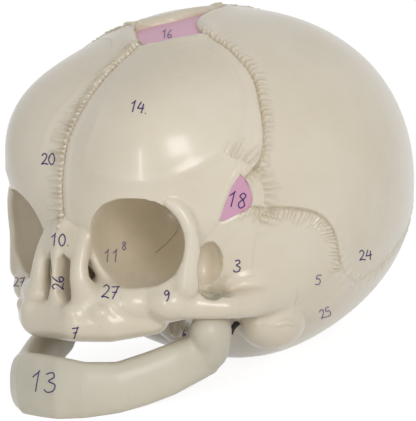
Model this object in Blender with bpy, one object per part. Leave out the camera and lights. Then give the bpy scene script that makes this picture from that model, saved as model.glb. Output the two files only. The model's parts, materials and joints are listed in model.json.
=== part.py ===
"""Fetal skull, built from its separate bones, the membranes of its fontanelles and a hinged lower jaw.

Everything is modelled about the nasion, the root of the nose: +X is the skull's own left, +Y is back and
+Z is up. The left half of one closed skull form is made first. Knives that follow the sutures then cut
it into bones, so that neighbouring bones match, and the right half is its mirror image.
"""

import math

import bmesh
import bpy
from mathutils import Matrix, Vector

MM = 0.001

# Vault
VAULT_HALF_WIDTH = 44.2 * MM
VAULT_FRONT = 56.3 * MM
VAULT_BACK = 57.7 * MM
VAULT_TOP = 48.2 * MM
VAULT_BOTTOM = 48.0 * MM
VAULT_BEHIND_NASION = 57.2 * MM
VAULT_ABOVE_NASION = 4.7 * MM
VAULT_WALL = 2.4 * MM
VAULT_SQUARENESS = 2.12
FRONTAL_BOSS = 6.6 * MM
FOREHEAD_SLOPE = 2.5 * MM
PARIETAL_BOSS = 3.4 * MM
OCCIPITAL_BOSS = 6.8 * MM
TEMPLE_HOLLOW = 2.5 * MM
NAPE_HOLLOW = 2.9 * MM
BASE_HOLLOW = 12.0 * MM

# Face: its width and depth keep pace with the vault's
FACE_LENGTH = 50.0 * MM
FACE_WIDTH_SHARE = 1.13122
FACE_DEPTH_SHARE = 0.874126
ORBIT_HALF_WIDTH = 12.6 * MM
ORBIT_HALF_HEIGHT = 11.6 * MM
ORBIT_DEPTH = 31.0 * MM
ORBIT_WALL = 2.0 * MM
ORBIT_RIM = 2.2 * MM
SEPTUM = 1.6 * MM

VOXEL = 0.9 * MM
SUTURE_GAP = 0.3 * MM

# Bosses and hollows of the vault: height, direction from the vault's centre, and spread in degrees
SWELLINGS = (
    (FRONTAL_BOSS, (0.387, -0.857, 0.339), 22.5),
    (PARIETAL_BOSS, (0.80, 0.38, 0.46), 34),
    (OCCIPITAL_BOSS, (0.0, 0.98, -0.15), 30),
    (-TEMPLE_HOLLOW, (0.74, -0.60, -0.30), 20),
    (-NAPE_HOLLOW, (0.0, 0.60, -0.80), 26),
    (-FOREHEAD_SLOPE, (0.0, -0.75, 0.66), 24),
    (-BASE_HOLLOW, (0.0, -0.60, -0.80), 26),
)

# Rounded bars of the face and the base: places and radii in shares of the face's sizes
FACE_BAR_SHARES = (
    ((0.0, 0.09, 0.06, 0.08), (0.0, 0.05, -0.05, 0.06), (0.0, 0.0, -0.14, 0.05)),
    ((0.0, 0.0, -0.14, 0.05), (0.0, -0.012, -0.18, 0.045)),
    ((0.05, 0.10, 0.02, 0.07), (0.058, 0.055, -0.08, 0.055), (0.068, 0.01, -0.165, 0.045)),
    ((0.09, 0.14, 0.0, 0.07), (0.107, 0.075, -0.066, 0.055), (0.126, 0.03, -0.15, 0.05)),
    ((0.126, 0.03, -0.15, 0.05), (0.137, 0.0, -0.234, 0.047), (0.145, -0.005, -0.31, 0.052)),
    ((0.145, -0.005, -0.31, 0.052), (0.18, 0.03, -0.42, 0.095)),
    ((0.0, -0.012, -0.18, 0.045), (0.0, -0.005, -0.30, 0.05), (0.0, -0.01, -0.44, 0.06)),
    ((0.0, -0.01, -0.52, 0.10), (0.14, -0.015, -0.52, 0.10), (0.27, 0.09, -0.52, 0.10)),
    ((0.27, 0.09, -0.52, 0.10), (0.39, 0.28, -0.51, 0.08)),
    ((0.60, 0.29, 0.04, 0.05), (0.635, 0.30, -0.12, 0.05), (0.60, 0.30, -0.32, 0.075)),
    ((0.54, 0.33, -0.42, 0.085), (0.69, 0.50, -0.44, 0.065)),
    ((0.69, 0.50, -0.44, 0.065), (0.71, 0.68, -0.43, 0.08), (0.66, 0.90, -0.40, 0.12)),
    ((0.22, 0.60, -0.34, 0.05), (0.26, 0.58, -0.61, 0.04)),
    ((0.30, 0.68, -0.36, 0.045), (0.33, 0.68, -0.60, 0.035)),
    ((0.0, 0.70, -0.44, 0.16), (0.0, 0.88, -0.60, 0.13), (0.0, 1.08, -0.69, 0.10)),
    ((0.18, 0.90, -0.60, 0.11), (0.58, 0.98, -0.50, 0.14)),
    ((0.17, 1.14, -0.72, 0.08), (0.22, 1.34, -0.74, 0.08)),
)
# Rounded lumps: centres and half axes in shares of the face's sizes
FACE_LUMP_SHARES = (
    ((0.22, 0.25, -0.42), (0.25, 0.23, 0.15)),
    ((0.0, 0.08, -0.31), (0.06, 0.14, 0.16)),
    ((0.15, -0.055, -0.47), (0.07, 0.06, 0.055)),
    ((0.26, 0.02, -0.465), (0.07, 0.06, 0.055)),
    ((0.0, 0.20, -0.48), (0.22, 0.20, 0.09)),
    ((0.47, 0.30, -0.41), (0.15, 0.14, 0.11)),
    ((0.0, 0.38, -0.08), (0.20, 0.32, 0.20)),
    ((0.0, 0.40, -0.36), (0.17, 0.28, 0.16)),
    ((0.0, 0.80, -0.30), (0.24, 0.26, 0.18)),
    ((0.43, 0.60, -0.18), (0.20, 0.28, 0.30)),
    ((0.60, 0.94, -0.56), (0.16, 0.20, 0.15)),
    ((0.52, 0.88, -0.30), (0.24, 0.36, 0.24)),
    ((0.53, 0.62, -0.16), (0.13, 0.18, 0.18)),
    ((0.60, 0.76, -0.34), (0.11, 0.15, 0.13)),
)

# The inner and upper edge of the orbit's opening, and the way it looks into the head
ORBIT_EDGE_SHARES = (0.143, 0.17, 0.128)
ORBIT_AXIS = (-0.34, 0.93, 0.12)

# Sections of a nasal passage: how far back, width, top and bottom, in shares of the face's length
NOSE_SECTION_SHARES = (
    (-0.24, 0.10, -0.175, -0.42),
    (0.02, 0.096, -0.175, -0.42),
    (0.40, 0.084, -0.14, -0.44),
    (0.80, 0.084, -0.26, -0.46),
)

# Hollows: centre and half axes, in shares of the face's length
TEMPLE_SHARES = ((0.70, 0.40, -0.25), (0.09, 0.22, 0.15))
TEMPLE_TURN = 58
PALATE_SHARES = ((0.0, 0.30, -0.66), (0.24, 0.28, 0.13))
FORAMEN_SHARES = ((0.0, 1.26, -0.75), (0.16, 0.19, 0.45))


def vault_centre():
    return Vector((0, VAULT_BEHIND_NASION, VAULT_ABOVE_NASION))


def vault_radius(direction):
    """Distance of the vault's outer skin from its centre, along a unit direction."""
    length = VAULT_BACK if direction.y > 0 else VAULT_FRONT
    height = VAULT_TOP if direction.z > 0 else VAULT_BOTTOM
    shares = (direction.x / VAULT_HALF_WIDTH, direction.y / length, direction.z / height)
    radius = sum(abs(share) ** VAULT_SQUARENESS for share in shares) ** (-1 / VAULT_SQUARENESS)
    folded = Vector((abs(direction.x), direction.y, direction.z))
    for swell, towards, spread in SWELLINGS:
        angle = math.degrees(folded.angle(Vector(towards)))
        radius += swell * math.exp(-((angle / spread) ** 2))
    return radius


def at(x, y, z):
    """A place beside, behind or above the nasion, in shares of the face's width, depth and length."""
    width = VAULT_HALF_WIDTH * FACE_WIDTH_SHARE
    depth = VAULT_BEHIND_NASION * FACE_DEPTH_SHARE
    return Vector((x * width, y * depth, z * FACE_LENGTH))


def new_object(name, bm):
    mesh = bpy.data.meshes.new(name)
    bm.to_mesh(mesh)
    bm.free()
    obj = bpy.data.objects.new(name, mesh)
    bpy.context.scene.collection.objects.link(obj)
    return obj


def drop(obj):
    bpy.data.objects.remove(obj)


def applied(obj):
    """The object with its modifiers worked into its mesh."""
    bpy.context.view_layer.update()
    graph = bpy.context.evaluated_depsgraph_get()
    mesh = bpy.data.meshes.new_from_object(obj.evaluated_get(graph))
    obj.modifiers.clear()
    obj.data = mesh
    return obj


def vault_skin(bm, inwards=0.0):
    """Adds the vault's skin, moved inwards by a wall thickness."""
    made = bmesh.ops.create_icosphere(bm, subdivisions=5, radius=1)
    for vert in made["verts"]:
        direction = vert.co.normalized()
        vert.co = vault_centre() + direction * (vault_radius(direction) - inwards)


def ball(bm, centre, radii, turn=None):
    place = Matrix.Translation(centre)
    if turn:
        place = place @ turn
    bmesh.ops.create_icosphere(bm, subdivisions=3, radius=1, matrix=place @ Matrix.Diagonal((*radii, 1)))


def mirror_copy(bm):
    """Adds the mirror image of everything made so far."""
    made = bmesh.ops.duplicate(bm, geom=bm.verts[:] + bm.edges[:] + bm.faces[:])["geom"]
    for item in made:
        if isinstance(item, bmesh.types.BMVert):
            item.co.x = -item.co.x
    bmesh.ops.reverse_faces(bm, faces=[item for item in made if isinstance(item, bmesh.types.BMFace)])


def loft(bm, rings):
    """A closed skin through rings of points."""
    loops = [[bm.verts.new(point) for point in ring] for ring in rings]
    made = [bm.faces.new(loops[0]), bm.faces.new(loops[-1])]
    for first, second in zip(loops, loops[1:]):
        for i in range(len(first)):
            j = (i + 1) % len(first)
            made.append(bm.faces.new((first[i], first[j], second[j], second[i])))
    bmesh.ops.recalc_face_normals(bm, faces=made)


def bar(bm, start, stop, first_radius, last_radius):
    """A bar with round ends that tapers from one radius to the other."""
    along = (stop - start).normalized()
    across = along.orthogonal().normalized()
    other = along.cross(across)
    rings = []
    for centre, radius, turns in ((start, first_radius, (-80, -45, -15)), (stop, last_radius, (15, 45, 80))):
        for turn in turns:
            middle = centre + along * (radius * math.sin(math.radians(turn)))
            reach = radius * math.cos(math.radians(turn))
            spokes = [2 * math.pi * i / 12 for i in range(12)]
            rings.append([middle + (across * math.cos(s) + other * math.sin(s)) * reach for s in spokes])
    loft(bm, rings)


def chain(bm, links):
    """Bars from link to link, each link being a place and a radius in shares of the face's length."""
    for first, second in zip(links, links[1:]):
        bar(bm, at(*first[:3]), at(*second[:3]), first[3] * FACE_LENGTH, second[3] * FACE_LENGTH)


# Cross sections of the lower jaw's left half: place of the middle, half height and half thickness, in
# shares of the face's length
JAW_SECTION_SHARES = (
    (0.0, -0.125, -0.846, 0.164, 0.064),
    (0.12, -0.118, -0.848, 0.162, 0.064),
    (0.23, -0.050, -0.855, 0.145, 0.068),
    (0.33, 0.075, -0.845, 0.132, 0.072),
    (0.41, 0.205, -0.805, 0.135, 0.074),
    (0.475, 0.335, -0.760, 0.135, 0.072),
    (0.52, 0.455, -0.715, 0.125, 0.072),
    (0.55, 0.560, -0.690, 0.105, 0.066),
)
JAW_BAR_SHARES = (
    ((0.55, 0.52, -0.68, 0.10), (0.575, 0.51, -0.62, 0.10)),
    ((0.48, 0.36, -0.74, 0.06), (0.49, 0.33, -0.675, 0.045)),
)
CONDYLE_SHARES = (0.58, 0.50, -0.58)
CONDYLE_RADIUS = 5.9 * MM


def jaw_forms(bm):
    """The left half of the lower jaw, reaching over the middle."""
    rings = []
    for i, (x, y, z, tall, thick) in enumerate(JAW_SECTION_SHARES):
        before = at(*JAW_SECTION_SHARES[max(i - 1, 0)][:2], 0)
        after = at(*JAW_SECTION_SHARES[min(i + 1, len(JAW_SECTION_SHARES) - 1)][:2], 0)
        along = (after - before).normalized() if i else Vector((1, 0, 0))
        side = along.cross(Vector((0, 0, 1)))
        ring = []
        for k in range(20):
            turn = 2 * math.pi * k / 20
            square = (abs(math.cos(turn)) ** 2.5 + abs(math.sin(turn)) ** 2.5) ** (-1 / 2.5)
            out = side * (thick * square * math.cos(turn)) + Vector((0, 0, tall * square * math.sin(turn)))
            ring.append(at(x, y, z) + out * FACE_LENGTH)
        rings.append(ring)
    loft(bm, rings)
    for links in JAW_BAR_SHARES:
        chain(bm, links)
    ball(bm, at(*CONDYLE_SHARES), Vector((CONDYLE_RADIUS * 0.85, CONDYLE_RADIUS, CONDYLE_RADIUS)))
    mirror_copy(bm)


def orbit_axes():
    """The orbit's opening: its centre, and axes across, up and back into the head."""
    centre = at(*ORBIT_EDGE_SHARES) + Vector((ORBIT_HALF_WIDTH, 0, -ORBIT_HALF_HEIGHT))
    back = Vector(ORBIT_AXIS).normalized()
    across = back.cross(Vector((0, 0, 1))).normalized()
    return centre, across, across.cross(back), back


def orbit_ring(grow, depth_share, count=32):
    """A ring of points round the orbit's cone, at a share of its depth."""
    centre, across, up, back = orbit_axes()
    narrow = 1 - 0.9 * depth_share**1.7
    middle = centre + back * (ORBIT_DEPTH * depth_share) - across * (ORBIT_HALF_WIDTH * 0.35 * depth_share)
    ring = []
    for i in range(count):
        turn = 2 * math.pi * i / count
        square = (abs(math.cos(turn)) ** 2.2 + abs(math.sin(turn)) ** 2.2) ** (-1 / 2.2)
        wide = square * math.cos(turn)
        tall = square * math.sin(turn)
        set_back = ORBIT_HALF_WIDTH * 0.12 * wide**2 * (1 - depth_share)
        out = across * (wide * (ORBIT_HALF_WIDTH * narrow + grow))
        lift = up * (tall * (ORBIT_HALF_HEIGHT * narrow + grow))
        ring.append(middle + out + lift + back * set_back)
    return ring


def orbit_cone(bm, grow, ahead):
    """The space of the orbit, from ahead of its rim to its apex, made larger by a wall."""
    back = orbit_axes()[3]
    rings = [[point - back * ahead for point in orbit_ring(grow, 0)]]
    depth_shares = (0.02, 0.12, 0.25, 0.4, 0.55, 0.7, 0.82, 0.92, 1.0)
    rings += [orbit_ring(grow, share) for share in depth_shares]
    loft(bm, rings)


def face_forms(bm):
    """The solid forms of the face and the base, left half, some reaching over the middle."""
    rim = orbit_ring(ORBIT_RIM * 0.5, 0)
    for i in range(len(rim)):
        bar(bm, rim[i - 1], rim[i], ORBIT_RIM, ORBIT_RIM)
    orbit_cone(bm, ORBIT_WALL, 0)
    for links in FACE_BAR_SHARES:
        chain(bm, links)
    for centre, radii in FACE_LUMP_SHARES:
        ball(bm, at(*centre), at(*radii))
    mirror_copy(bm)


def nose_space(bm):
    """The left nasal passage, beside the septum."""
    rings = []
    for y, width, top, low in NOSE_SECTION_SHARES:
        ring = []
        for i in range(16):
            turn = 2 * math.pi * i / 16
            lift = math.sin(turn)
            wide = (1 + math.cos(turn)) / 2 * (0.78 - 0.22 * lift)
            point = at(width * wide, y, (top + low) / 2 + lift * (top - low) / 2)
            ring.append(point + Vector((SEPTUM / 2, 0, 0)))
        rings.append(ring)
    loft(bm, rings)


def temple_space(bm):
    """The hollow behind the cheek's upright, deepest in front."""
    centre, radii = TEMPLE_SHARES
    ball(bm, at(*centre), at(*radii), Matrix.Rotation(math.radians(TEMPLE_TURN), 4, "Z"))


def orbit_space(bm):
    orbit_cone(bm, 0, FACE_LENGTH * 0.2)


def palate_space(bm):
    centre, radii = PALATE_SHARES
    ball(bm, at(*centre), at(*radii))


def foramen_space(bm):
    centre, radii = FORAMEN_SHARES
    ball(bm, at(*centre), at(*radii))


HOLLOWS = (
    (orbit_space, mirror_copy),
    (nose_space, mirror_copy),
    (temple_space, mirror_copy),
    (palate_space,),
    (foramen_space,),
)


def cutter(name, *shapes):
    """A closed body from functions that each add to it."""
    bm = bmesh.new()
    for shape in shapes:
        shape(bm)
    return new_object(name, bm)


def remeshed(obj, voxel, smoothing):
    mod = obj.modifiers.new("skin", "REMESH")
    mod.mode = "VOXEL"
    mod.voxel_size = voxel
    soft = obj.modifiers.new("soft", "SMOOTH")
    soft.factor = 0.5
    soft.iterations = smoothing
    return applied(obj)


def carve(obj, tool, operation="DIFFERENCE"):
    """Works one closed body into another and drops the tool."""
    mod = obj.modifiers.new("carve", "BOOLEAN")
    mod.operation = operation
    mod.object = tool
    tool.hide_render = True
    tool.display_type = "WIRE"
    applied(obj)
    drop(tool)
    return obj


def skull_form(voxel):
    """The closed form of the whole skull without its lower jaw."""
    face = remeshed(cutter("face", face_forms), voxel, 3)
    brain = carve(cutter("brain", lambda bm: vault_skin(bm, VAULT_WALL)), face)
    skull = remeshed(cutter("skull", vault_skin, face_forms), voxel, 3)
    carve(skull, brain)
    for shapes in HOLLOWS:
        carve(skull, cutter("hollow", *shapes))
    return remeshed(skull, voxel, 4)


# Sutures as directions from the vault's centre: degrees round to the left of the front, and degrees up
CORONAL_UPPER = ((0, 66), (27.8, 60), (33.5, 57.6), (42, 53.2), (49.5, 49), (53.9, 44.8), (57.1, 40.4))
CORONAL_LOWER = ((58.5, 35.8), (58.8, 30.7), (59.2, 24.4), (59, 18.3), (58, 13.8), (55.6, 10), (50.5, 8))
CORONAL = CORONAL_UPPER + CORONAL_LOWER
FRONTAL_SIDE = ((47, 1), (44.5, -6), (41, -10), (38, -12))
FRONTAL_BASE = FRONTAL_SIDE + ((33, -9.6), (20, -9.2), (9, -8), (4.4, -6.8), (0, -6))
SQUAMOUS = ((54, -1), (63, -1.5), (68, -2), (74, -3), (81, -5), (87, -11), (91, -17), (95, -24.5))
LAMBDOID_SIDE = ((104, -29), (115, -31.5), (126, -28), (134, -23), (142, -17))
LAMBDOID = LAMBDOID_SIDE + ((155, -4), (168, 10), (173, 17), (180, 24))
MASTOID_TOP = ((95, -24.5), (86, -33), (74, -38.5), (62, -40), (50, -44), (36, -50), (20, -52), (0, -52))
MASTOID_UNDER = ((-90, -70), (180, -70), (140, -50))
ANTERIOR_LEFT = ((11.5, 54.4), (20.5, 57.8), (27.8, 60), (18.7, 66.9), (14.7, 70.2), (13.5, 73.3), (12.8, 77.9))
ANTERIOR_RIGHT = tuple((-around, up) for around, up in reversed(ANTERIOR_LEFT))
ANTERIOR_FONTANELLE = ((0, 50),) + ANTERIOR_LEFT + ((0, 86),) + ANTERIOR_RIGHT
SPHENOIDAL_FONTANELLE = ((50.5, 8), (54, 4.5), (55, -1), (50, -3.8), (44.5, -6), (46.5, 0))
POSTERIOR_FONTANELLE = ((180, 31), (171, 18), (180, 13), (-171, 18))

# Outlines of the face's and the base's bones and how far they reach across, in shares of the face's sizes
NASAL_SPAN_SHARES = (-0.20, 0.11)
NASAL_FRONT_SHARES = ((-0.08, 0.01), (0.084, -0.016), (0.092, -0.19), (-0.08, -0.22))
LACRIMAL_SPAN_SHARES = (0.13, 0.21)
LACRIMAL_SIDE_SHARES = ((0.11, -0.08), (0.22, -0.08), (0.22, -0.24), (0.12, -0.26))
VOMER_SPAN_SHARES = (-0.06, 0.024)
VOMER_SIDE_SHARES = (
    (-0.16, -0.194),
    (0.226, -0.12),
    (0.226, -0.32),
    (0.60, -0.32),
    (0.60, -0.42),
    (-0.16, -0.42),
)
ETHMOID_SPAN_SHARES = (0.22, 0.60)
ETHMOID_FRONT_SHARES = ((-0.06, 0.16), (0.17, 0.16), (0.176, -0.31), (-0.06, -0.31))
MAXILLA_SPAN_SHARES = (-0.30, 0.50)
MAXILLA_FRONT_SHARES = (
    (-0.06, 0.02),
    (0.184, -0.044),
    (0.212, -0.26),
    (0.35, -0.33),
    (0.38, -0.45),
    (0.44, -0.50),
    (0.54, -0.55),
    (0.54, -0.80),
    (-0.06, -0.80),
)
ZYGOMATIC_SPAN_SHARES = (0.20, 1.0)
ZYGOMATIC_SIDE_SHARES = (
    (-0.12, -0.052),
    (0.37, -0.052),
    (0.39, -0.16),
    (0.376, -0.31),
    (0.56, -0.31),
    (0.51, -0.60),
    (-0.12, -0.60),
)
BASILAR_SPAN_SHARES = (-1.2, -0.20)
BASILAR_PLAN_SHARES = ((-0.06, 0.88), (0.18, 0.88), (0.20, 1.08), (0.12, 1.16), (-0.06, 1.16))
LATERAL_SPAN_SHARES = (-1.2, -0.20)
LATERAL_PLAN_SHARES = (
    (-0.06, 1.16),
    (0.12, 1.16),
    (0.20, 1.07),
    (0.38, 1.07),
    (0.454, 1.144),
    (0.522, 1.25),
    (0.54, 1.32),
    (0.44, 1.46),
    (-0.06, 1.46),
)
SQUAMA_SPAN_SHARES = (-1.2, 0.80)
SQUAMA_PLAN_SHARES = (
    (-0.06, 1.46),
    (0.44, 1.46),
    (0.54, 1.32),
    (0.594, 1.314),
    (0.682, 1.348),
    (0.726, 1.384),
    (1.20, 1.50),
    (1.20, 2.80),
    (-0.06, 2.80),
)
TEMPORAL_SPAN_SHARES = (0.30, 1.2)
TEMPORAL_SIDE_SHARES = (
    (0.63, 0.16),
    (0.66, -0.16),
    (0.69, -0.36),
    (0.72, -0.80),
    (1.60, -0.80),
    (1.60, 0.16),
)
ARCH_SPAN_SHARES = (0.60, 1.2)
ARCH_SIDE_SHARES = ((0.40, -0.30), (0.72, -0.30), (0.72, -0.80), (0.40, -0.80))

SPHENOID_SPAN_SHARES = (-0.06, 0.183)
SPHENOID_SIDE_SHARES = ((0.50, 0.30), (0.88, 0.30), (0.88, -0.90), (0.50, -0.90))
WING_SPAN_SHARES = (0.19, 1.0)
WING_SIDE_SHARES = ((0.30, 0.30), (1.10, 0.30), (1.10, -0.90), (0.30, -0.90))

# The eardrum's ring and the elastic jaw ties, in shares of the face's length
EAR_SHARES = (0.68, 0.90, -0.62)
EAR_RING_RADIUS = 4.4 * MM
EAR_RING_THICKNESS = 1.1 * MM
EAR_AXIS = (0.74, -0.20, -0.64)
TIE_SHARES = (
    (0.54, 0.690, -0.610),
    (0.54, 0.705, -0.585),
    (0.54, 0.735, -0.562),
    (0.54, 0.775, -0.555),
    (0.54, 0.815, -0.556),
)
TIE_RADIUS = 0.7 * MM

FONTANELLE_DEPTH = 1.5 * MM
SIDE_DEPTH_SHARE = 0.25
FONTANELLE_THICKNESS = 0.9 * MM

# How the skull stands: on its chin and on the bone behind the opening for the spine
STANDING_TILT = -8.5
FLOOR_BELOW_NASION = 48.5 * MM

# Outlines of the blocks that cut the skull along its middle and flat where it stands
SIDE_BLOCK_SHARES = ((-4, -4), (8, -4), (8, 4), (-4, 4))
FOOT_SHARES = ((-2, -1), (2, -1), (2, 4), (-2, 4))

SKULL_FACETS = 3900
RING_STEPS = 16
TUBE_STEPS = 6
MEMBRANE_FACETS = 90
JAW_FACETS = 900

BONE_LOOK = ((0.68, 0.60, 0.47), 0.35)
JAW_LOOK = ((0.62, 0.56, 0.45), 0.38)
MEMBRANE_LOOK = ((0.66, 0.36, 0.48), 0.45)
TIE_LOOK = ((0.02, 0.02, 0.022), 0.6)

FAR = 4 * FACE_LENGTH
GAP_START = VAULT_HALF_WIDTH - 1.5 * VAULT_WALL


def ray(around, up):
    """A unit direction from degrees round to the left of the front and degrees up."""
    level = math.cos(math.radians(up))
    turn = math.radians(around)
    return Vector((math.sin(turn) * level, -math.cos(turn) * level, math.sin(math.radians(up))))


def wedge(outline, heart=None, start=0.0):
    """A knife that spreads from the vault's centre, or from a distance off it, through an outline."""

    def shape(bm):
        rays = [ray(*turn) for turn in outline]
        middle = ray(*heart) if heart else sum(rays, Vector()).normalized()
        low = bm.verts.new(vault_centre() + middle * start)
        top = bm.verts.new(vault_centre() + middle * FAR)
        rim = [bm.verts.new(vault_centre() + direction * FAR) for direction in rays]
        inner = [bm.verts.new(vault_centre() + direction * start) for direction in rays] if start else []
        for i in range(len(rim)):
            bm.faces.new((top, rim[i], rim[i - 1]))
            if inner:
                bm.faces.new((inner[i - 1], rim[i - 1], rim[i], inner[i]))
                bm.faces.new((low, inner[i - 1], inner[i]))
            else:
                bm.faces.new((low, rim[i - 1], rim[i]))
        bmesh.ops.recalc_face_normals(bm, faces=bm.faces)

    return shape


def prism(outline, axis, span):
    """A knife with an outline across one axis and a span along it, in shares."""

    def corner(a, b, along):
        place = [a, b]
        place.insert(axis, along)
        return at(*place)

    def shape(bm):
        loft(bm, [[corner(a, b, share) for a, b in outline] for share in span])

    return shape


def grown(obj, by):
    """Moves the faces of a closed body outwards by a distance."""
    bm = bmesh.new()
    bm.from_mesh(obj.data)
    bm.normal_update()
    moves = [(vert, vert.normal * (by * vert.calc_shell_factor())) for vert in bm.verts]
    for vert, move in moves:
        vert.co += move
    bm.to_mesh(obj.data)
    bm.free()
    return obj


def copied(obj, name):
    twin = bpy.data.objects.new(name, obj.data.copy())
    bpy.context.scene.collection.objects.link(twin)
    return twin


def largest_only(obj):
    """Keeps the largest connected body of a mesh."""
    bm = bmesh.new()
    bm.from_mesh(obj.data)
    left = set(bm.verts)
    groups = []
    while left:
        group = {left.pop()}
        edge_of = list(group)
        while edge_of:
            vert = edge_of.pop()
            for edge in vert.link_edges:
                other = edge.other_vert(vert)
                if other in left:
                    left.remove(other)
                    group.add(other)
                    edge_of.append(other)
        groups.append(group)
    groups.sort(key=len)
    extra = [vert for group in groups[:-1] for vert in group]
    bmesh.ops.delete(bm, geom=extra, context="VERTS")
    bm.to_mesh(obj.data)
    bm.free()
    return obj


def side_block(start):
    """Everything to the left of a plane that stands across the skull."""
    def shape(bm):
        loft(bm, [[Vector((x, *at(0, a, b).yz)) for a, b in SIDE_BLOCK_SHARES] for x in (start, FAR)])

    return shape


def take(rest, name, *knives):
    """Cuts a bone out of what is left of the half skull, with a suture's gap round it."""
    knife = cutter("knife", knives[0])
    for extra in knives[1:]:
        carve(knife, cutter("extra", extra), "UNION")
    outer = grown(copied(knife, "outer"), SUTURE_GAP / 2)
    bone = carve(copied(rest, name), grown(knife, -SUTURE_GAP / 2), "INTERSECT")
    carve(rest, outer)
    return largest_only(bone)


FRONTAL_OUTLINE = ((-30, 30), (-28, 60)) + CORONAL + FRONTAL_BASE + ((-12, -4),)
PARIETAL_OUTLINE = ((-20, 20), (20, 20), (45, 5)) + SQUAMOUS + LAMBDOID + ((-172, 24), (-90, 60))
PETROMASTOID_OUTLINE = ((104, -15),) + MASTOID_TOP + MASTOID_UNDER

# Cutting order: a name, how it crosses the middle ("single", "twin" or "gap") and the knives
BONES = (
    ("anterior_gap", "gap", wedge(ANTERIOR_FONTANELLE, None, GAP_START)),
    ("sphenoidal_gap", "gap", wedge(SPHENOIDAL_FONTANELLE, None, GAP_START)),
    ("posterior_gap", "gap", wedge(POSTERIOR_FONTANELLE, None, GAP_START)),
    ("nasal_bone", "twin", prism(NASAL_FRONT_SHARES, 1, NASAL_SPAN_SHARES)),
    ("lacrimal_bone", "twin", prism(LACRIMAL_SIDE_SHARES, 0, LACRIMAL_SPAN_SHARES)),
    ("vomer", "single", prism(VOMER_SIDE_SHARES, 0, VOMER_SPAN_SHARES)),
    ("ethmoid_bone", "single", prism(ETHMOID_FRONT_SHARES, 1, ETHMOID_SPAN_SHARES)),
    ("maxilla", "twin", prism(MAXILLA_FRONT_SHARES, 1, MAXILLA_SPAN_SHARES)),
    ("zygomatic_bone", "twin", prism(ZYGOMATIC_SIDE_SHARES, 0, ZYGOMATIC_SPAN_SHARES)),
    ("frontal_bone", "twin", wedge(FRONTAL_OUTLINE, (20, 25))),
    ("parietal_bone", "twin", wedge(PARIETAL_OUTLINE, (90, 40))),
    ("occipital_basilar_part", "single", prism(BASILAR_PLAN_SHARES, 2, BASILAR_SPAN_SHARES)),
    ("occipital_lateral_part", "twin", prism(LATERAL_PLAN_SHARES, 2, LATERAL_SPAN_SHARES)),
    ("occipital_squama", "single", prism(SQUAMA_PLAN_SHARES, 2, SQUAMA_SPAN_SHARES)),
    ("sphenoid_body", "single", prism(SPHENOID_SIDE_SHARES, 0, SPHENOID_SPAN_SHARES)),
    ("petromastoid_part", "twin", wedge(PETROMASTOID_OUTLINE, (85, -62))),
    (
        "temporal_squama",
        "twin",
        prism(TEMPORAL_SIDE_SHARES, 0, TEMPORAL_SPAN_SHARES),
        prism(ARCH_SIDE_SHARES, 0, ARCH_SPAN_SHARES),
    ),
    ("sphenoid_wing", "twin", prism(WING_SIDE_SHARES, 0, WING_SPAN_SHARES)),
)

# Membranes: name, outline, depth below the vault's skin, thickness and whether it crosses the middle
MEMBRANES = (
    ("anterior_fontanelle", "single", ANTERIOR_FONTANELLE, FONTANELLE_DEPTH),
    ("posterior_fontanelle", "single", POSTERIOR_FONTANELLE, FONTANELLE_DEPTH),
    ("sphenoidal_fontanelle", "twin", SPHENOIDAL_FONTANELLE, FONTANELLE_DEPTH * SIDE_DEPTH_SHARE),
)


def mirrored(obj, name):
    """A new object that is the mirror image of another, across the middle."""
    twin = copied(obj, name)
    bm = bmesh.new()
    bm.from_mesh(twin.data)
    for vert in bm.verts:
        vert.co.x = -vert.co.x
    bmesh.ops.reverse_faces(bm, faces=bm.faces)
    bm.to_mesh(twin.data)
    bm.free()
    return twin


def made_whole(obj):
    """Joins a half that was cut at the middle to its mirror image."""
    bm = bmesh.new()
    bm.from_mesh(obj.data)
    near = SUTURE_GAP * 0.01
    for vert in bm.verts:
        if abs(vert.co.x) < near:
            vert.co.x = 0
    middle = [face for face in bm.faces if all(vert.co.x == 0 for vert in face.verts)]
    bmesh.ops.delete(bm, geom=middle, context="FACES")
    mirror_copy(bm)
    seam = [vert for vert in bm.verts if vert.co.x == 0]
    bmesh.ops.remove_doubles(bm, verts=seam, dist=near)
    bm.to_mesh(obj.data)
    bm.free()
    return obj


def membrane(name, outline, depth):
    """The left half of a membrane that lies between bones, below the vault's skin."""
    skin = cutter(name, lambda bm: vault_skin(bm, depth))
    carve(skin, cutter("inside", lambda bm: vault_skin(bm, depth + FONTANELLE_THICKNESS)))
    carve(skin, grown(cutter("knife", wedge(outline)), -SUTURE_GAP / 2), "INTERSECT")
    carve(skin, cutter("side", side_block(0)), "INTERSECT")
    return largest_only(skin)


def thinned(obj, facets):
    """The same form with about a given number of facets."""
    thin = obj.modifiers.new("thin", "DECIMATE")
    thin.ratio = min(1, facets / len(obj.data.polygons) / 2)
    return applied(obj)


def ear_ring(bm, grow=0.0):
    """The ring that holds the eardrum, below the root of the arch."""
    middle = at(*EAR_SHARES)
    normal = Vector(EAR_AXIS).normalized()
    across = normal.cross(Vector((0, 0, 1))).normalized()
    up = across.cross(normal)
    loops = []
    for i in range(RING_STEPS):
        turn = 2 * math.pi * i / RING_STEPS
        out = across * math.cos(turn) + up * math.sin(turn)
        loop = []
        for k in range(TUBE_STEPS):
            roll = 2 * math.pi * k / TUBE_STEPS
            reach = EAR_RING_RADIUS + (EAR_RING_THICKNESS + grow) * math.cos(roll)
            lift = normal * ((EAR_RING_THICKNESS + grow) * math.sin(roll))
            loop.append(bm.verts.new(middle + out * reach + lift))
        loops.append(loop)
    faces = []
    for i in range(RING_STEPS):
        for k in range(TUBE_STEPS):
            a, b = loops[i - 1], loops[i]
            faces.append(bm.faces.new((a[k - 1], b[k - 1], b[k], a[k])))
    bmesh.ops.recalc_face_normals(bm, faces=faces)


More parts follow.
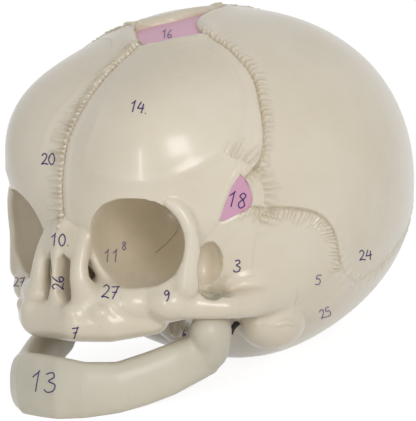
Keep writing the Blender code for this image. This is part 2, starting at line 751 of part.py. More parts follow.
def tie_form(bm, grow=0.0):
    """The elastic tie that holds the jaw, from behind its condyle up to the ear."""
    rings = []
    count = len(TIE_SHARES)
    for i, link in enumerate(TIE_SHARES):
        along = (at(*TIE_SHARES[min(i + 1, count - 1)]) - at(*TIE_SHARES[max(i - 1, 0)])).normalized()
        across = along.cross(Vector((0, 0, 1))).normalized()
        up = across.cross(along)
        spokes = [2 * math.pi * k / TUBE_STEPS for k in range(TUBE_STEPS)]
        reach = TIE_RADIUS + grow
        centre = at(*link) + along * (grow * (1 if i == count - 1 else -1 if i == 0 else 0))
        rings.append([centre + (across * math.cos(s) + up * math.sin(s)) * reach for s in spokes])
    loft(bm, rings)


def condyle_space(bm):
    """Room for the jaw's condyle to turn."""
    reach = CONDYLE_RADIUS + SUTURE_GAP * 1.5
    ball(bm, at(*CONDYLE_SHARES), Vector((reach * 0.9, reach, reach)))


def seats():
    """Room in the skull's form for the loose pieces that fit into it."""
    room = SUTURE_GAP * 1.2
    return (
        (condyle_space, mirror_copy),
        (lambda bm: ear_ring(bm, room), mirror_copy),
        (lambda bm: tie_form(bm, room), mirror_copy),
    )


def material(name, color, roughness):
    made = bpy.data.materials.new(name)
    made.use_nodes = True
    shader = made.node_tree.nodes["Principled BSDF"]
    shader.inputs["Base Color"].default_value = (*color, 1)
    shader.inputs["Roughness"].default_value = roughness
    shader.inputs["Metallic"].default_value = 0
    return made


def finished(obj, root, look):
    """Shades a piece, gives it its own material and hangs it on its parent."""
    obj.data.shade_smooth()
    obj.data.set_sharp_from_angle(angle=math.radians(35))
    obj.data.materials.clear()
    obj.data.materials.append(material(obj.name + "_material", *look))
    obj.parent = root


def empty(name, place):
    made = bpy.data.objects.new(name, None)
    made.empty_display_size = FACE_LENGTH / 5
    made.location = place
    bpy.context.scene.collection.objects.link(made)
    return made


def stand(root, pieces):
    """Tips the skull back on to its chin and its base, and puts its box's middle over the origin."""
    turn = Matrix.Rotation(math.radians(STANDING_TILT), 4, "X")
    corners = [turn @ vert.co for obj in pieces for vert in obj.data.vertices]
    low = [min(corner[axis] for corner in corners) for axis in range(3)]
    high = [max(corner[axis] for corner in corners) for axis in range(3)]
    shift = Vector((-(low[0] + high[0]) / 2, -(low[1] + high[1]) / 2, -low[2]))
    root.matrix_world = Matrix.Translation(shift) @ turn


def foot(bm):
    """The flat surface that the skull stands on, as a block below it."""
    turn = Matrix.Rotation(math.radians(STANDING_TILT), 4, "X").inverted()
    top = -FLOOR_BELOW_NASION
    rings = []
    for z in (top - FACE_LENGTH, top):
        rings.append([turn @ Vector((*at(a, b, 0).xy, z)) for a, b in FOOT_SHARES])
    loft(bm, rings)


def main():
    for obj in list(bpy.data.objects):
        bpy.data.objects.remove(obj)
    skull = skull_form(VOXEL)
    thinned(skull, SKULL_FACETS)
    for shapes in seats():
        carve(skull, cutter("seat", *shapes))
    carve(skull, cutter("foot", foot))
    half = carve(skull, cutter("side", side_block(0)), "INTERSECT")

    bones = []
    for name, middle, *knives in BONES:
        bone = take(half, name, *knives)
        if middle == "gap":
            drop(bone)
        elif middle == "single":
            bones.append(made_whole(bone))
        else:
            carve(bone, cutter("side", side_block(SUTURE_GAP / 2)), "INTERSECT")
            bone.name = name + "_left"
            bones += [bone, mirrored(bone, name + "_right")]
    drop(half)

    skins = []
    for name, middle, outline, depth in MEMBRANES:
        skin = membrane(name, outline, depth)
        thinned(skin, MEMBRANE_FACETS)
        if middle == "single":
            skins.append(made_whole(skin))
        else:
            skin.name = name + "_left"
            skins += [skin, mirrored(skin, name + "_right")]

    rings = [cutter("tympanic_ring_left", ear_ring)]
    rings.append(mirrored(rings[0], "tympanic_ring_right"))
    ties = [cutter("jaw_tie_left", tie_form)]
    ties.append(mirrored(ties[0], "jaw_tie_right"))

    jaw = remeshed(cutter("mandible", jaw_forms), VOXEL, 4)
    thinned(jaw, JAW_FACETS)
    carve(jaw, cutter("foot", foot))

    root = empty("standing_pose", Vector())
    hinge = empty("jaw_axis", Vector((0, *at(*CONDYLE_SHARES).yz)))
    hinge.parent = root
    stand(root, bones + [jaw])
    for obj in bones + rings:
        finished(obj, root, BONE_LOOK)
    for obj in skins:
        finished(obj, root, MEMBRANE_LOOK)
    for obj in ties:
        finished(obj, root, TIE_LOOK)
    jaw.data.transform(Matrix.Translation(-hinge.location))
    finished(jaw, hinge, JAW_LOOK)


main()
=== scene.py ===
# %% [markdown]
# # A fetal skull model, dressed for its portrait
# The object is a life-size teaching cast of a fetal skull: glossy ivory plastic, separate bones that meet
# at toothed sutures, pink painted fontanelles, plain ink numerals and a lower jaw on elastic ties. The
# imported CAD model gives every size and place. We load it first.

# %% Load the frame
import json
import math
from contextlib import contextmanager

import bmesh
import bpy
import numpy as np
from mathutils import Matrix, Vector


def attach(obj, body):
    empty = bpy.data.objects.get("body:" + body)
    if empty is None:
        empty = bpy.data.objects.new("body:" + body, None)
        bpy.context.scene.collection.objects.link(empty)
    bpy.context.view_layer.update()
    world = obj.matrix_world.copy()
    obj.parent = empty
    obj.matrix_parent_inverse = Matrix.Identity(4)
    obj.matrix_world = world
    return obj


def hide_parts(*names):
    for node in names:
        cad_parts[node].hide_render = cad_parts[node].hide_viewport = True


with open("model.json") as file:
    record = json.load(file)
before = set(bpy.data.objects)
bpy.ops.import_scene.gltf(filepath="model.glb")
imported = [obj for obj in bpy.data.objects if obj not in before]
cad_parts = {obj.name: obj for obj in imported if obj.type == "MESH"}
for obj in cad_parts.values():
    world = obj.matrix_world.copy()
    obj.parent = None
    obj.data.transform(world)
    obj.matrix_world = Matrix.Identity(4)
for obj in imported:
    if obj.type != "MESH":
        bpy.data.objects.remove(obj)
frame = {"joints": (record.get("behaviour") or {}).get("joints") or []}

bpy.context.view_layer.update()

# %% [markdown]
# ## Two frames of reference
# A skull is easiest to describe about its nasion, the root of the nose: +X is its own left, +Y is back and
# +Z is up. On the table it leans back on its chin and its base. One matrix carries the first frame into the
# second. Its shift comes from the jaw's hinge, which both frames know.

# %% The standing pose
MM = 0.001
FACE = 50.0 * MM
VAULT_CENTRE = Vector((0, 57.2, 4.7)) * MM
CONDYLE = Vector((0.58, 0.50, -0.58)) * FACE
LEAN = Matrix.Rotation(math.radians(-8.5), 4, "X")

hinge = Vector(frame["joints"][0]["pos_m"])
POSE = Matrix.Translation(hinge - LEAN @ Vector((0, CONDYLE.y, CONDYLE.z))) @ LEAN
print("the nasion stands at", [round(value * 1000, 1) for value in POSE.translation], "mm")

# %% [markdown]
# ## The camera
# The photograph was taken from the skull's front left, a little above its own horizon, with a long lens.
# The camera is set in the skull's frame and then stood up with it. The lens is also kept in pixels, as the
# numerals and the gleams are placed by their pixels in the picture.

# %% Camera
def linked(name, data):
    """A new object in the scene."""
    obj = bpy.data.objects.new(name, data)
    bpy.context.scene.collection.objects.link(obj)
    return obj


WIDTH_PX, HEIGHT_PX, PIXELS_PER_METRE = 416, 421, 3720
AZIMUTH, ELEVATION, DISTANCE = math.radians(43.5), math.radians(5.0), 0.75
LENS_PX = DISTANCE * PIXELS_PER_METRE
TARGET = Vector((-1.085, 55.766, -1.692)) * MM
level = math.cos(ELEVATION)
towards = Vector((math.sin(AZIMUTH) * level, -math.cos(AZIMUTH) * level, math.sin(ELEVATION)))
aim = (-towards).to_track_quat("-Z", "Y").to_matrix().to_4x4()
CAMERA_IN_SKULL = Matrix.Translation(TARGET + towards * DISTANCE) @ aim
camera = linked("camera", bpy.data.cameras.new("camera"))
bpy.context.scene.camera = camera
camera.matrix_world = POSE @ CAMERA_IN_SKULL
camera.data.sensor_width = 36
camera.data.lens = camera.data.sensor_width * LENS_PX / HEIGHT_PX
camera.data.clip_start, camera.data.clip_end = 0.05, 20
print("lens", round(camera.data.lens, 1), "mm")

# %% [markdown]
# ## Clay first
# The bones share one continuous surface, as in life. So the skull is built as one closed lump of clay and
# sawn into bones later. The clay starts as overlapping balls, bars and tubes made by bmesh operators. The
# helpers below place them by shares of the face's length.

# %% Helpers for clay
def at(x, y, z):
    """A place beside, behind or above the nasion, in shares of the face's length."""
    return Vector((x, y, z)) * FACE


def new_object(name, bm):
    mesh = bpy.data.meshes.new(name)
    bm.to_mesh(mesh)
    bm.free()
    return linked(name, mesh)


@contextmanager
def edited(obj):
    """A mesh opened for bmesh operators, and put back after them."""
    bm = bmesh.new()
    bm.from_mesh(obj.data)
    yield bm
    bm.to_mesh(obj.data)
    bm.free()


def turns_round(count):
    return [2 * math.pi * i / count for i in range(count)]


def squarish(turn, power):
    """A point on a rounded square whose half width is one."""
    reach = (abs(math.cos(turn)) ** power + abs(math.sin(turn)) ** power) ** (-1 / power)
    return reach * math.cos(turn), reach * math.sin(turn)


def edges_of(verts):
    """Each edge once, in an order that is the same on every run."""
    return list(dict.fromkeys(edge for vert in verts for edge in vert.link_edges))


def ball(bm, centre, radii, turn=0, detail=4):
    place = Matrix.Translation(centre) @ Matrix.Rotation(math.radians(turn), 4, "Z")
    bmesh.ops.create_icosphere(bm, subdivisions=detail, radius=1, matrix=place @ Matrix.Diagonal((*radii, 1)))


def bar(bm, start, stop, first_radius, last_radius):
    """A tapered bar with a ball at each end."""
    along = stop - start
    place = Matrix.Translation((start + stop) / 2) @ along.to_track_quat("Z", "Y").to_matrix().to_4x4()
    size = {"radius1": first_radius, "radius2": last_radius, "depth": along.length}
    bmesh.ops.create_cone(bm, cap_ends=True, segments=24, matrix=place, **size)
    ball(bm, start, (first_radius,) * 3, detail=3)
    ball(bm, stop, (last_radius,) * 3, detail=3)


def chain(bm, links):
    for first, second in zip(links, links[1:]):
        bar(bm, at(*first[:3]), at(*second[:3]), first[3] * FACE, second[3] * FACE)


def both_sides(bm):
    """Adds the mirror image of all that is there."""
    twin = bmesh.ops.duplicate(bm, geom=bm.verts[:] + bm.edges[:] + bm.faces[:])["geom"]
    bmesh.ops.scale(bm, vec=(-1, 1, 1), verts=[item for item in twin if isinstance(item, bmesh.types.BMVert)])
    bmesh.ops.reverse_faces(bm, faces=[item for item in twin if isinstance(item, bmesh.types.BMFace)])


def tube(bm, rings):
    """A closed skin through rings of points, bridged from one to the next."""
    loops = []
    for ring in rings:
        verts = bmesh.ops.create_circle(bm, cap_ends=False, segments=len(ring), radius=1)["verts"]
        for vert, point in zip(verts, ring):
            vert.co = point
        loops.append(edges_of(verts))
    made = []
    for first, second in zip(loops, loops[1:]):
        made += bmesh.ops.bridge_loops(bm, edges=first + second)["faces"]
    for loop in (loops[0], loops[-1]):
        made += bmesh.ops.edgeloop_fill(bm, edges=loop)["faces"]
    bmesh.ops.recalc_face_normals(bm, faces=made)


def clay(name, *shapes):
    bm = bmesh.new()
    for shape in shapes:
        shape(bm)
    return new_object(name, bm)


# %% [markdown]
# ## The brain case
# The vault is a squarish egg with soft bosses: two on the forehead, two on the parietals and one at the
# back. An icosphere is pushed out to that radius in every direction. The same rule, moved in by the wall's
# thickness, gives the hollow inside.

# %% Vault radius
HALF_WIDTH, FRONT, BACK, TOP, BOTTOM = (size * MM for size in (44.2, 56.3, 57.7, 48.2, 48.0))
SQUARENESS = 2.12
WALL = 2.4 * MM
SWELLINGS = (
    (6.6 * MM, (0.387, -0.857, 0.339), 22.5),
    (3.4 * MM, (0.80, 0.38, 0.46), 34),
    (6.8 * MM, (0.0, 0.98, -0.15), 30),
    (-2.5 * MM, (0.74, -0.60, -0.30), 20),
    (-2.9 * MM, (0.0, 0.60, -0.80), 26),
    (-2.5 * MM, (0.0, -0.75, 0.66), 24),
    (-12.0 * MM, (0.0, -0.60, -0.80), 26),
)


def vault_radius(directions):
    """Distance from the vault's centre to its skin, for rows of unit directions."""
    rays = np.atleast_2d(np.asarray(directions, float)).copy()
    rays[:, 0] = np.abs(rays[:, 0])
    length = np.where(rays[:, 1] > 0, BACK, FRONT)
    height = np.where(rays[:, 2] > 0, TOP, BOTTOM)
    shares = np.abs(np.stack([rays[:, 0] / HALF_WIDTH, rays[:, 1] / length, rays[:, 2] / height]))
    radius = (shares**SQUARENESS).sum(0) ** (-1 / SQUARENESS)
    for swell, place, spread in SWELLINGS:
        axis = np.array(place) / np.linalg.norm(place)
        angle = np.degrees(np.arccos(np.clip(rays @ axis, -1, 1)))
        radius = radius + swell * np.exp(-((angle / spread) ** 2))
    return radius


def vault(bm, inwards=0.0):
    verts = bmesh.ops.create_icosphere(bm, subdivisions=6, radius=1)["verts"]
    rays = [vert.co.normalized() for vert in verts]
    for vert, ray, radius in zip(verts, rays, vault_radius(rays)):
        vert.co = VAULT_CENTRE + ray * (radius - inwards)


print("the boss of the forehead stands", round(float(vault_radius([(0.387, -0.857, 0.339)])[0]) * 1000, 1), "mm out")

# %% [markdown]
# ## Eye sockets
# An orbit is a rounded square mouth that narrows to a point, back and towards the middle. Rings along its
# axis describe it. Grown by a wall it is clay to add; ungrown it is the hollow to cut.

# %% Orbit
ORBIT_HALF_WIDTH, ORBIT_HALF_HEIGHT, ORBIT_DEPTH = 12.6 * MM, 11.6 * MM, 31.0 * MM
ORBIT_WALL, ORBIT_RIM = 2.0 * MM, 2.2 * MM
ORBIT_BACK = Vector((-0.34, 0.93, 0.12)).normalized()
ORBIT_ACROSS = ORBIT_BACK.cross(Vector((0, 0, 1))).normalized()
ORBIT_UP = ORBIT_ACROSS.cross(ORBIT_BACK)


def orbit_ring(grow, depth, count=48):
    """Points round the orbit at a share of its depth."""
    narrow = 1 - 0.9 * depth**1.7
    middle = at(0.395, 0.17, -0.104) + ORBIT_BACK * (ORBIT_DEPTH * depth)
    middle -= ORBIT_ACROSS * (ORBIT_HALF_WIDTH * 0.35 * depth)
    ring = []
    for turn in turns_round(count):
        wide, tall = squarish(turn, 2.2)
        out = ORBIT_ACROSS * (wide * (ORBIT_HALF_WIDTH * narrow + grow))
        lift = ORBIT_UP * (tall * (ORBIT_HALF_HEIGHT * narrow + grow))
        ring.append(middle + out + lift + ORBIT_BACK * (ORBIT_HALF_WIDTH * 0.12 * wide**2 * (1 - depth)))
    return ring


def orbit(bm, grow, ahead):
    rings = [[point - ORBIT_BACK * ahead for point in orbit_ring(grow, 0)]]
    tube(bm, rings + [orbit_ring(grow, share) for share in (0.02, 0.12, 0.25, 0.4, 0.55, 0.7, 0.82, 0.92, 1.0)])


# %% [markdown]
# ## Face and base
# Cheek uprights, brow, nose, tooth bed, arches and the bones under the brain are rounded bars and lumps.
# Every row gives a place and a radius in shares of the face's length, for the left half only.

# %% Face and base tables
BARS = (
    ((0.0, 0.09, 0.06, 0.08), (0.0, 0.05, -0.05, 0.06), (0.0, 0.0, -0.14, 0.05), (0.0, -0.012, -0.18, 0.045)),
    ((0.05, 0.10, 0.02, 0.07), (0.058, 0.055, -0.08, 0.055), (0.068, 0.01, -0.165, 0.045)),
    ((0.09, 0.14, 0.0, 0.07), (0.107, 0.075, -0.066, 0.055), (0.126, 0.03, -0.15, 0.05)),
    ((0.126, 0.03, -0.15, 0.05), (0.137, 0.0, -0.234, 0.047), (0.145, -0.005, -0.31, 0.052)),
    ((0.145, -0.005, -0.31, 0.052), (0.18, 0.03, -0.42, 0.095)),
    ((0.0, -0.012, -0.18, 0.045), (0.0, -0.005, -0.30, 0.05), (0.0, -0.01, -0.44, 0.06)),
    ((0.0, -0.01, -0.52, 0.10), (0.14, -0.015, -0.52, 0.10), (0.27, 0.09, -0.52, 0.10)),
    ((0.27, 0.09, -0.52, 0.10), (0.39, 0.28, -0.51, 0.08)),
    ((0.60, 0.29, 0.04, 0.05), (0.635, 0.30, -0.12, 0.05), (0.60, 0.30, -0.32, 0.075)),
    ((0.54, 0.33, -0.42, 0.085), (0.69, 0.50, -0.44, 0.065)),
    ((0.69, 0.50, -0.44, 0.065), (0.71, 0.68, -0.43, 0.08), (0.66, 0.90, -0.40, 0.12)),
    ((0.22, 0.60, -0.34, 0.05), (0.26, 0.58, -0.61, 0.04)),
    ((0.30, 0.68, -0.36, 0.045), (0.33, 0.68, -0.60, 0.035)),
    ((0.0, 0.70, -0.44, 0.16), (0.0, 0.88, -0.60, 0.13), (0.0, 1.08, -0.69, 0.10)),
    ((0.18, 0.90, -0.60, 0.11), (0.58, 0.98, -0.50, 0.14)),
    ((0.17, 1.14, -0.72, 0.08), (0.22, 1.34, -0.74, 0.08)),
)
LUMPS = (
    ((0.22, 0.25, -0.42), (0.25, 0.23, 0.15)),
    ((0.0, 0.08, -0.31), (0.06, 0.14, 0.16)),
    ((0.15, -0.055, -0.47), (0.07, 0.06, 0.055)),
    ((0.26, 0.02, -0.465), (0.07, 0.06, 0.055)),
    ((0.13, 0.72, -0.03), (0.10, 0.08, 0.08)),
    ((0.175, 0.135, -0.27), (0.035, 0.04, 0.05)),
    ((0.0, 0.20, -0.48), (0.22, 0.20, 0.09)),
    ((0.47, 0.30, -0.41), (0.15, 0.14, 0.11)),
    ((0.0, 0.38, -0.08), (0.20, 0.32, 0.20)),
    ((0.0, 0.40, -0.36), (0.17, 0.28, 0.16)),
    ((0.0, 0.80, -0.30), (0.24, 0.26, 0.18)),
    ((0.43, 0.60, -0.18), (0.20, 0.28, 0.30)),
    ((0.60, 0.94, -0.56), (0.16, 0.20, 0.15)),
    ((0.52, 0.88, -0.30), (0.24, 0.36, 0.24)),
    ((0.53, 0.62, -0.16), (0.13, 0.18, 0.18)),
    ((0.60, 0.76, -0.34), (0.11, 0.15, 0.13)),
)


def face(bm):
    edge = orbit_ring(ORBIT_RIM * 0.5, 0)
    for i in range(len(edge)):
        bar(bm, edge[i - 1], edge[i], ORBIT_RIM, ORBIT_RIM)
    orbit(bm, ORBIT_WALL, 0)
    for links in BARS:
        chain(bm, links)
    for centre, radii in LUMPS:
        ball(bm, at(*centre), at(*radii))
    both_sides(bm)


# %% [markdown]
# ## The hollows
# The orbits, the two nose passages beside their partition, the hollow of the temple, the roof of the mouth
# and the opening for the spine are closed bodies too, so that Boolean modifiers can cut them out.

# %% Hollows
NOSE = (
    (-0.24, 0.10, -0.175, -0.42),
    (0.02, 0.096, -0.175, -0.42),
    (0.40, 0.084, -0.14, -0.44),
    (0.80, 0.084, -0.26, -0.46),
)
TEMPLE_HOLLOW = (0.70, 0.40, -0.25)


def nose_passage(bm):
    rings = []
    for y, width, top, low in NOSE:
        ring = []
        for turn in turns_round(24):
            lift = math.sin(turn)
            wide = (1 + math.cos(turn)) / 2 * (0.78 - 0.22 * lift)
            ring.append(at(0.016 + width * wide, y, (top + low) / 2 + lift * (top - low) / 2))
        rings.append(ring)
    tube(bm, rings)


def temple(bm):
    ball(bm, at(*TEMPLE_HOLLOW), at(0.09, 0.22, 0.15), turn=58)


def palate(bm):
    ball(bm, at(0.0, 0.30, -0.66), at(0.24, 0.28, 0.13))


def foramen(bm):
    ball(bm, at(0.0, 1.26, -0.75), at(0.16, 0.19, 0.45))


HOLLOWS = (
    (lambda bm: orbit(bm, 0, FACE * 0.2), both_sides),
    (nose_passage, both_sides),
    (temple, both_sides),
    (palate,),
    (foramen,),
)

# %% [markdown]
# ## From lumps to one skin
# A voxel remesh melts the overlapping lumps into one skin, and a little smoothing gives the soft fillets of
# a cast. Each cut is a Boolean between two closed bodies. The Manifold solver is used because these meshes
# have hundreds of thousands of faces and are always closed.

# %% Remesh and cut
VOXEL = 0.55 * MM


def applied(obj):
    bpy.context.view_layer.update()
    graph = bpy.context.evaluated_depsgraph_get()
    mesh = bpy.data.meshes.new_from_object(obj.evaluated_get(graph))
    obj.modifiers.clear()
    obj.data = mesh
    return obj


def melted(obj, smoothing):
    skin = obj.modifiers.new("skin", "REMESH")
    skin.mode, skin.voxel_size = "VOXEL", VOXEL
    soft = obj.modifiers.new("soft", "SMOOTH")
    soft.factor, soft.iterations = 0.5, smoothing
    return applied(obj)


def work(obj, tool, operation="DIFFERENCE"):
    """Works one closed body into another and drops the tool."""
    step = obj.modifiers.new("work", "BOOLEAN")
    step.operation, step.object, step.solver = operation, tool, "MANIFOLD"
    applied(obj)
    bpy.data.objects.remove(tool)
    return obj


brain = work(clay("brain", lambda bm: vault(bm, WALL)), melted(clay("face", face), smoothing=6))
skull = work(melted(clay("skull", vault, face), smoothing=6), brain)
for shapes in HOLLOWS:
    work(skull, clay("hollow", *shapes))
melted(skull, smoothing=5)
print("skull in clay:", len(skull.data.polygons), "faces")

# %% [markdown]
# ## Suture lines
# Each suture is a line on the vault, given as degrees round to the left of the front and degrees up, seen
# from the vault's centre. On this cast the line over the forehead leans to the left as it climbs. So the
# right side is the mirror image of the left about that leaning line.

# %% Lines on the vault
LEANING = ((-20, 0), (-8, 0), (-2, 1.6), (5, 1.8), (10, 2.4), (15, 2.9), (20, 4.6), (25, 6.0), (30, 7.2), (37, 7.4))
LEANING += ((43, 8.0), (50, 9.6), (65, 9.0), (85, 8.5), (110, 5.0), (140, 0), (180, 0))
LINE_STEP = 0.2


def rays_of(turns):
    turns = np.radians(np.array(turns, float))
    level = np.cos(turns[:, 1])
    return np.stack([np.sin(turns[:, 0]) * level, -np.cos(turns[:, 0]) * level, np.sin(turns[:, 1])], 1)


def leaning(rays):
    """How far the middle line leans to the left, for rows of directions."""
    over = np.degrees(np.arctan2(rays[:, 2], -rays[:, 1]))
    shares = np.interp(over, [row[0] for row in LEANING], [row[1] / 100 for row in LEANING])
    return shares * np.hypot(rays[:, 1], rays[:, 2])


def across(rays):
    """The mirror image of directions about the leaning middle line."""
    mirrored = rays * [-1, 1, 1]
    mirrored[:, 0] += 2 * leaning(rays) * np.exp(-((np.abs(rays[:, 0]) / 0.6) ** 4))
    return mirrored / np.linalg.norm(mirrored, axis=1)[:, None]


def curved(rows, step):
    """Points of a smooth curve through all rows but the first and the last."""
    found = []
    for a, b, c, d in zip(rows, rows[1:], rows[2:], rows[3:]):
        for t in np.arange(0, 1, step):
            found.append(b + 0.5 * t * (c - a + t * (2 * a - 5 * b + 4 * c - d + t * (3 * (b - c) + d - a))))
    return np.array(found + [rows[-2]])


def line_through(rays, closed=False):
    """Evenly spaced points of a smooth line on the vault's skin."""
    ends = (rays[-1:], rays[:2]) if closed else (rays[:1], rays[-1:])
    found = curved(np.vstack([ends[0], rays, ends[1]]), 0.05)
    found /= np.linalg.norm(found, axis=1)[:, None]
    points = np.array(VAULT_CENTRE) + found * vault_radius(found)[:, None]
    gone = np.concatenate([[0], np.cumsum(np.linalg.norm(np.diff(points, axis=0), axis=1))])
    even = np.arange(0, gone[-1], LINE_STEP * MM)
    return np.stack([np.interp(even, gone, points[:, axis]) for axis in range(3)], 1)


METOPIC = ((0.6, -4.4), (1.0, 5), (1.4, 10.1), (1.7, 15.2), (2.8, 20.0), (3.8, 24.9), (4.8, 30.4), (5.3, 36.6))
METOPIC += ((6.2, 43.0), (8.6, 49.8))
CORONAL = ((38.2, 56.5), (45.9, 52), (50.2, 48.9), (53.9, 44.8), (57.1, 40.4), (58.5, 35.8), (58.8, 30.7))
CORONAL += ((59.2, 24.4), (59, 18.3), (58, 13.8), (55.6, 10), (51.7, 6.4))
SQUAMOUS = ((54.9, -1.8), (58.3, -2.3), (62.9, -2.5), (68.4, -2.8), (74.2, -3.7), (79.7, -5.3), (84.4, -8.3))
SQUAMOUS += ((88.5, -12.6), (91.3, -17.6), (94.3, -22.7))
LAMBDOID = ((94.3, -22.7), (101.4, -27.7), (110.6, -30.9), (116, -29.4), (121.5, -27), (128.3, -24), (134, -20))
LAMBDOID += ((142, -15), (155, -4), (168, 10), (173, 17), (180, 24))
SAGITTAL = ((62, 84), (150, 84), (175, 70), (179, 50), (180, 31))
FRONTAL_BASE = ((50, -2.5), (47, -3), (44.5, -6), (41, -10), (38, -12), (33, -9.6), (20, -9.2), (9, -8), (4.4, -6.8))
FRONTAL_BASE += ((0, -6),)
MASTOID_TOP = ((94.3, -22.7), (86, -33), (74, -38.5), (62, -40), (50, -44), (36, -50), (20, -52), (0, -52))
ANTERIOR = ((9, 50), (20, 53.4), (29, 56), (36, 57.8), (34, 61), (30, 65), (28, 68.5), (29, 71.5), (33, 76))
ANTERIOR += ((42, 80.5), (62, 84))
SPHENOIDAL = ((50.8, 8.2), (53, 6), (54.8, 2.5), (55, -0.5), (53.5, -2.6), (50, -4), (46.5, -5.6), (44.8, -5.4))
SPHENOIDAL += ((46.3, -0.5), (48.3, 4.4))
POSTERIOR = ((180, 31), (175, 24.5), (171, 18), (180, 13), (-171, 18), (-175, 24.5))
EMINENCE = ((9.5, 7.8), (9.5, 12.7), (11.1, 18.9), (11.6, 25.9), (13.1, 32.6), (15.9, 40.2), (22.8, 46.3), (32.6, 49))
EMINENCE += ((42.3, 46.9), (48.5, 42), (51.4, 36.6), (51.7, 29.8), (51.2, 23.6), (47.8, 17.5), (43.5, 13), (38.2, 9.3))
EMINENCE += ((32, 6.6), (24.7, 5.4), (17.1, 6.1), (12.7, 7.4))
MASTOID_RIDGE = ((103.8, -31.5), (100.8, -36.5), (96.9, -43.9), (90.4, -49.2), (79.8, -54.1))
STAR = ((50, 12), (54.5, 9.5), (57.5, 5), (58.5, 0.5), (58, -3.5))
print("the line over the forehead is", round(len(line_through(rays_of(METOPIC))) * LINE_STEP), "mm long")

# %% [markdown]
# ## Teeth, grooves and ridges
# A suture of this cast is a groove with a comb of small teeth on one side and a smooth swollen lip on the
# other. The skin is first subdivided along those lines. Then every point near a line moves in or out by a
# profile of its distance across and its place along. Real relief is made, not a painted one, because it
# catches the light.

# %% Relief
def smooth(value, low, high):
    share = np.clip((value - low) / (high - low), 0, 1)
    return share * share * (3 - 2 * share)


def comb(d, s, side=1, pitch=1.45, long=3.2, high=0.85, slants=(0.2, 0.2), groove=0.5, lip=0.2, shade=False):
    """Millimetres of height for a groove with a row of teeth on one side, or how far it lies in shade."""
    d = d * side
    whole = s.max() if len(s) else 1
    slant = slants[0] + (slants[1] - slants[0]) * smooth(s / whole, 0.38, 0.58)
    s = s + 0.25 * np.sin(s * 1.1) + slant * d
    tooth = np.floor(s / pitch)
    chance = (np.sin(tooth * 12.9898) * 43758.5453) % 1
    ridge = (0.5 - 0.5 * np.cos(2 * np.pi * (s / pitch - tooth))) ** 1.2
    within = smooth(d, 0.15, 0.6) * np.clip(1 - d / (long * (0.7 + 0.6 * chance)), 0, 1) ** 0.6
    small = smooth(-d, 0.2, 0.5) * np.clip(1 + d / (0.9 + chance), 0, 1) * (1 - ridge) * 0.3
    if shade:
        return np.clip(within * (1 - ridge) + np.exp(-((d / 0.4) ** 2)) * (groove > 0), 0, 1)
    swell = lip * np.exp(-(((d + 1.7) / 1.0) ** 2)) + 0.08 * np.exp(-(((d - 1.6) / 1.6) ** 2))
    teeth = (within * ridge + small) * high * (0.65 + 0.5 * chance)
    return teeth - groove * np.exp(-((d / 0.34) ** 2)) + swell


def lumpy(d, s, side=1):
    wave = np.sin(s * 2.1 + 1.3 * np.sin(s * 0.7)) * np.exp(-(((d - 1.4) / 1.5) ** 2))
    other = np.sin(s * 1.7 + 2) * np.exp(-(((d + 1.6) / 1.5) ** 2))
    return 0.22 * wave + 0.20 * other - 0.45 * np.exp(-(((d + 0.35 * np.sin(s * 1.9)) / 0.45) ** 2))


def ridge(d, s, high=0.4, wide=0.9):
    return high * np.exp(-((d / wide) ** 2))


def boss_edge(d, s):
    """A thin clear ridge over the boss's top, which turns broad and soft below."""
    whole = s.max() if len(s) else 1
    share = s / whole
    wide = np.interp(share, [0, 0.2, 0.3, 0.5, 0.6, 0.75, 0.9, 1], [1.2, 0.7, 0.42, 0.42, 0.8, 1.7, 1.4, 1.2])
    high = np.interp(share, [0, 0.2, 0.3, 0.5, 0.6, 0.75, 0.9, 1], [0.10, 0.18, 0.24, 0.24, 0.26, 0.42, 0.25, 0.10])
    return high * np.exp(-((d / wide) ** 2))


def cushion(d, s):
    """A rounded lip round the open fontanelle, on the bone's side."""
    fall = 1.6 * (1 - np.sqrt(np.clip(1 - (1 - np.clip(np.abs(d) / 1.6, 0, 1)) ** 2, 0, 1)))
    return 0.45 * np.exp(-(((np.abs(d) - 2.4) / 1.6) ** 2)) - fall


def rim(d, s):
    return -0.30 * np.exp(-((d / 0.28) ** 2)) + 0.15 * np.exp(-(((np.abs(d) - 0.9) / 0.6) ** 2))


def pair(turns, profile, reach, closed=False, **sizes):
    """A line on each side: the second is the first one's mirror image."""
    left = rays_of(turns)
    flip = dict(sizes, side=-sizes.get("side", 1)) if profile in (comb, lumpy) else sizes
    lines = [(line_through(rays, closed), change) for rays, change in ((left, sizes), (across(left), flip))]
    return [(line, profile, reach, change) for line, change in lines]


whole_anterior = np.vstack([rays_of(ANTERIOR), across(rays_of(ANTERIOR))[-2:0:-1]])
SEAMS = [
    (line_through(rays_of(METOPIC)), comb, 6.5, {"lip": 0.25, "slants": (0.05, 0.9), "long": 5.0, "high": 1.0}),
    (line_through(whole_anterior, True), cushion, 6, {}),
    (line_through(rays_of(SAGITTAL)), comb, 4.5, {}),
]
SEAMS += pair(CORONAL, comb, 5, side=1, long=3.4, high=1.0, slants=(0.1, 0.1))
SEAMS += pair(SQUAMOUS, comb, 5, side=-1, long=3.9, pitch=1.35, lip=0.12, slants=(0.1, 0.7))
SEAMS += pair(STAR, comb, 7, side=1, long=5.5, pitch=1.6, groove=0, lip=0, slants=(-0.2, -0.2))
SEAMS += pair(LAMBDOID, lumpy, 5)
SEAMS += pair(EMINENCE, boss_edge, 5, closed=True)
SEAMS += pair(MASTOID_RIDGE, ridge, 3)
SEAMS += pair(SPHENOIDAL, rim, 3, closed=True)


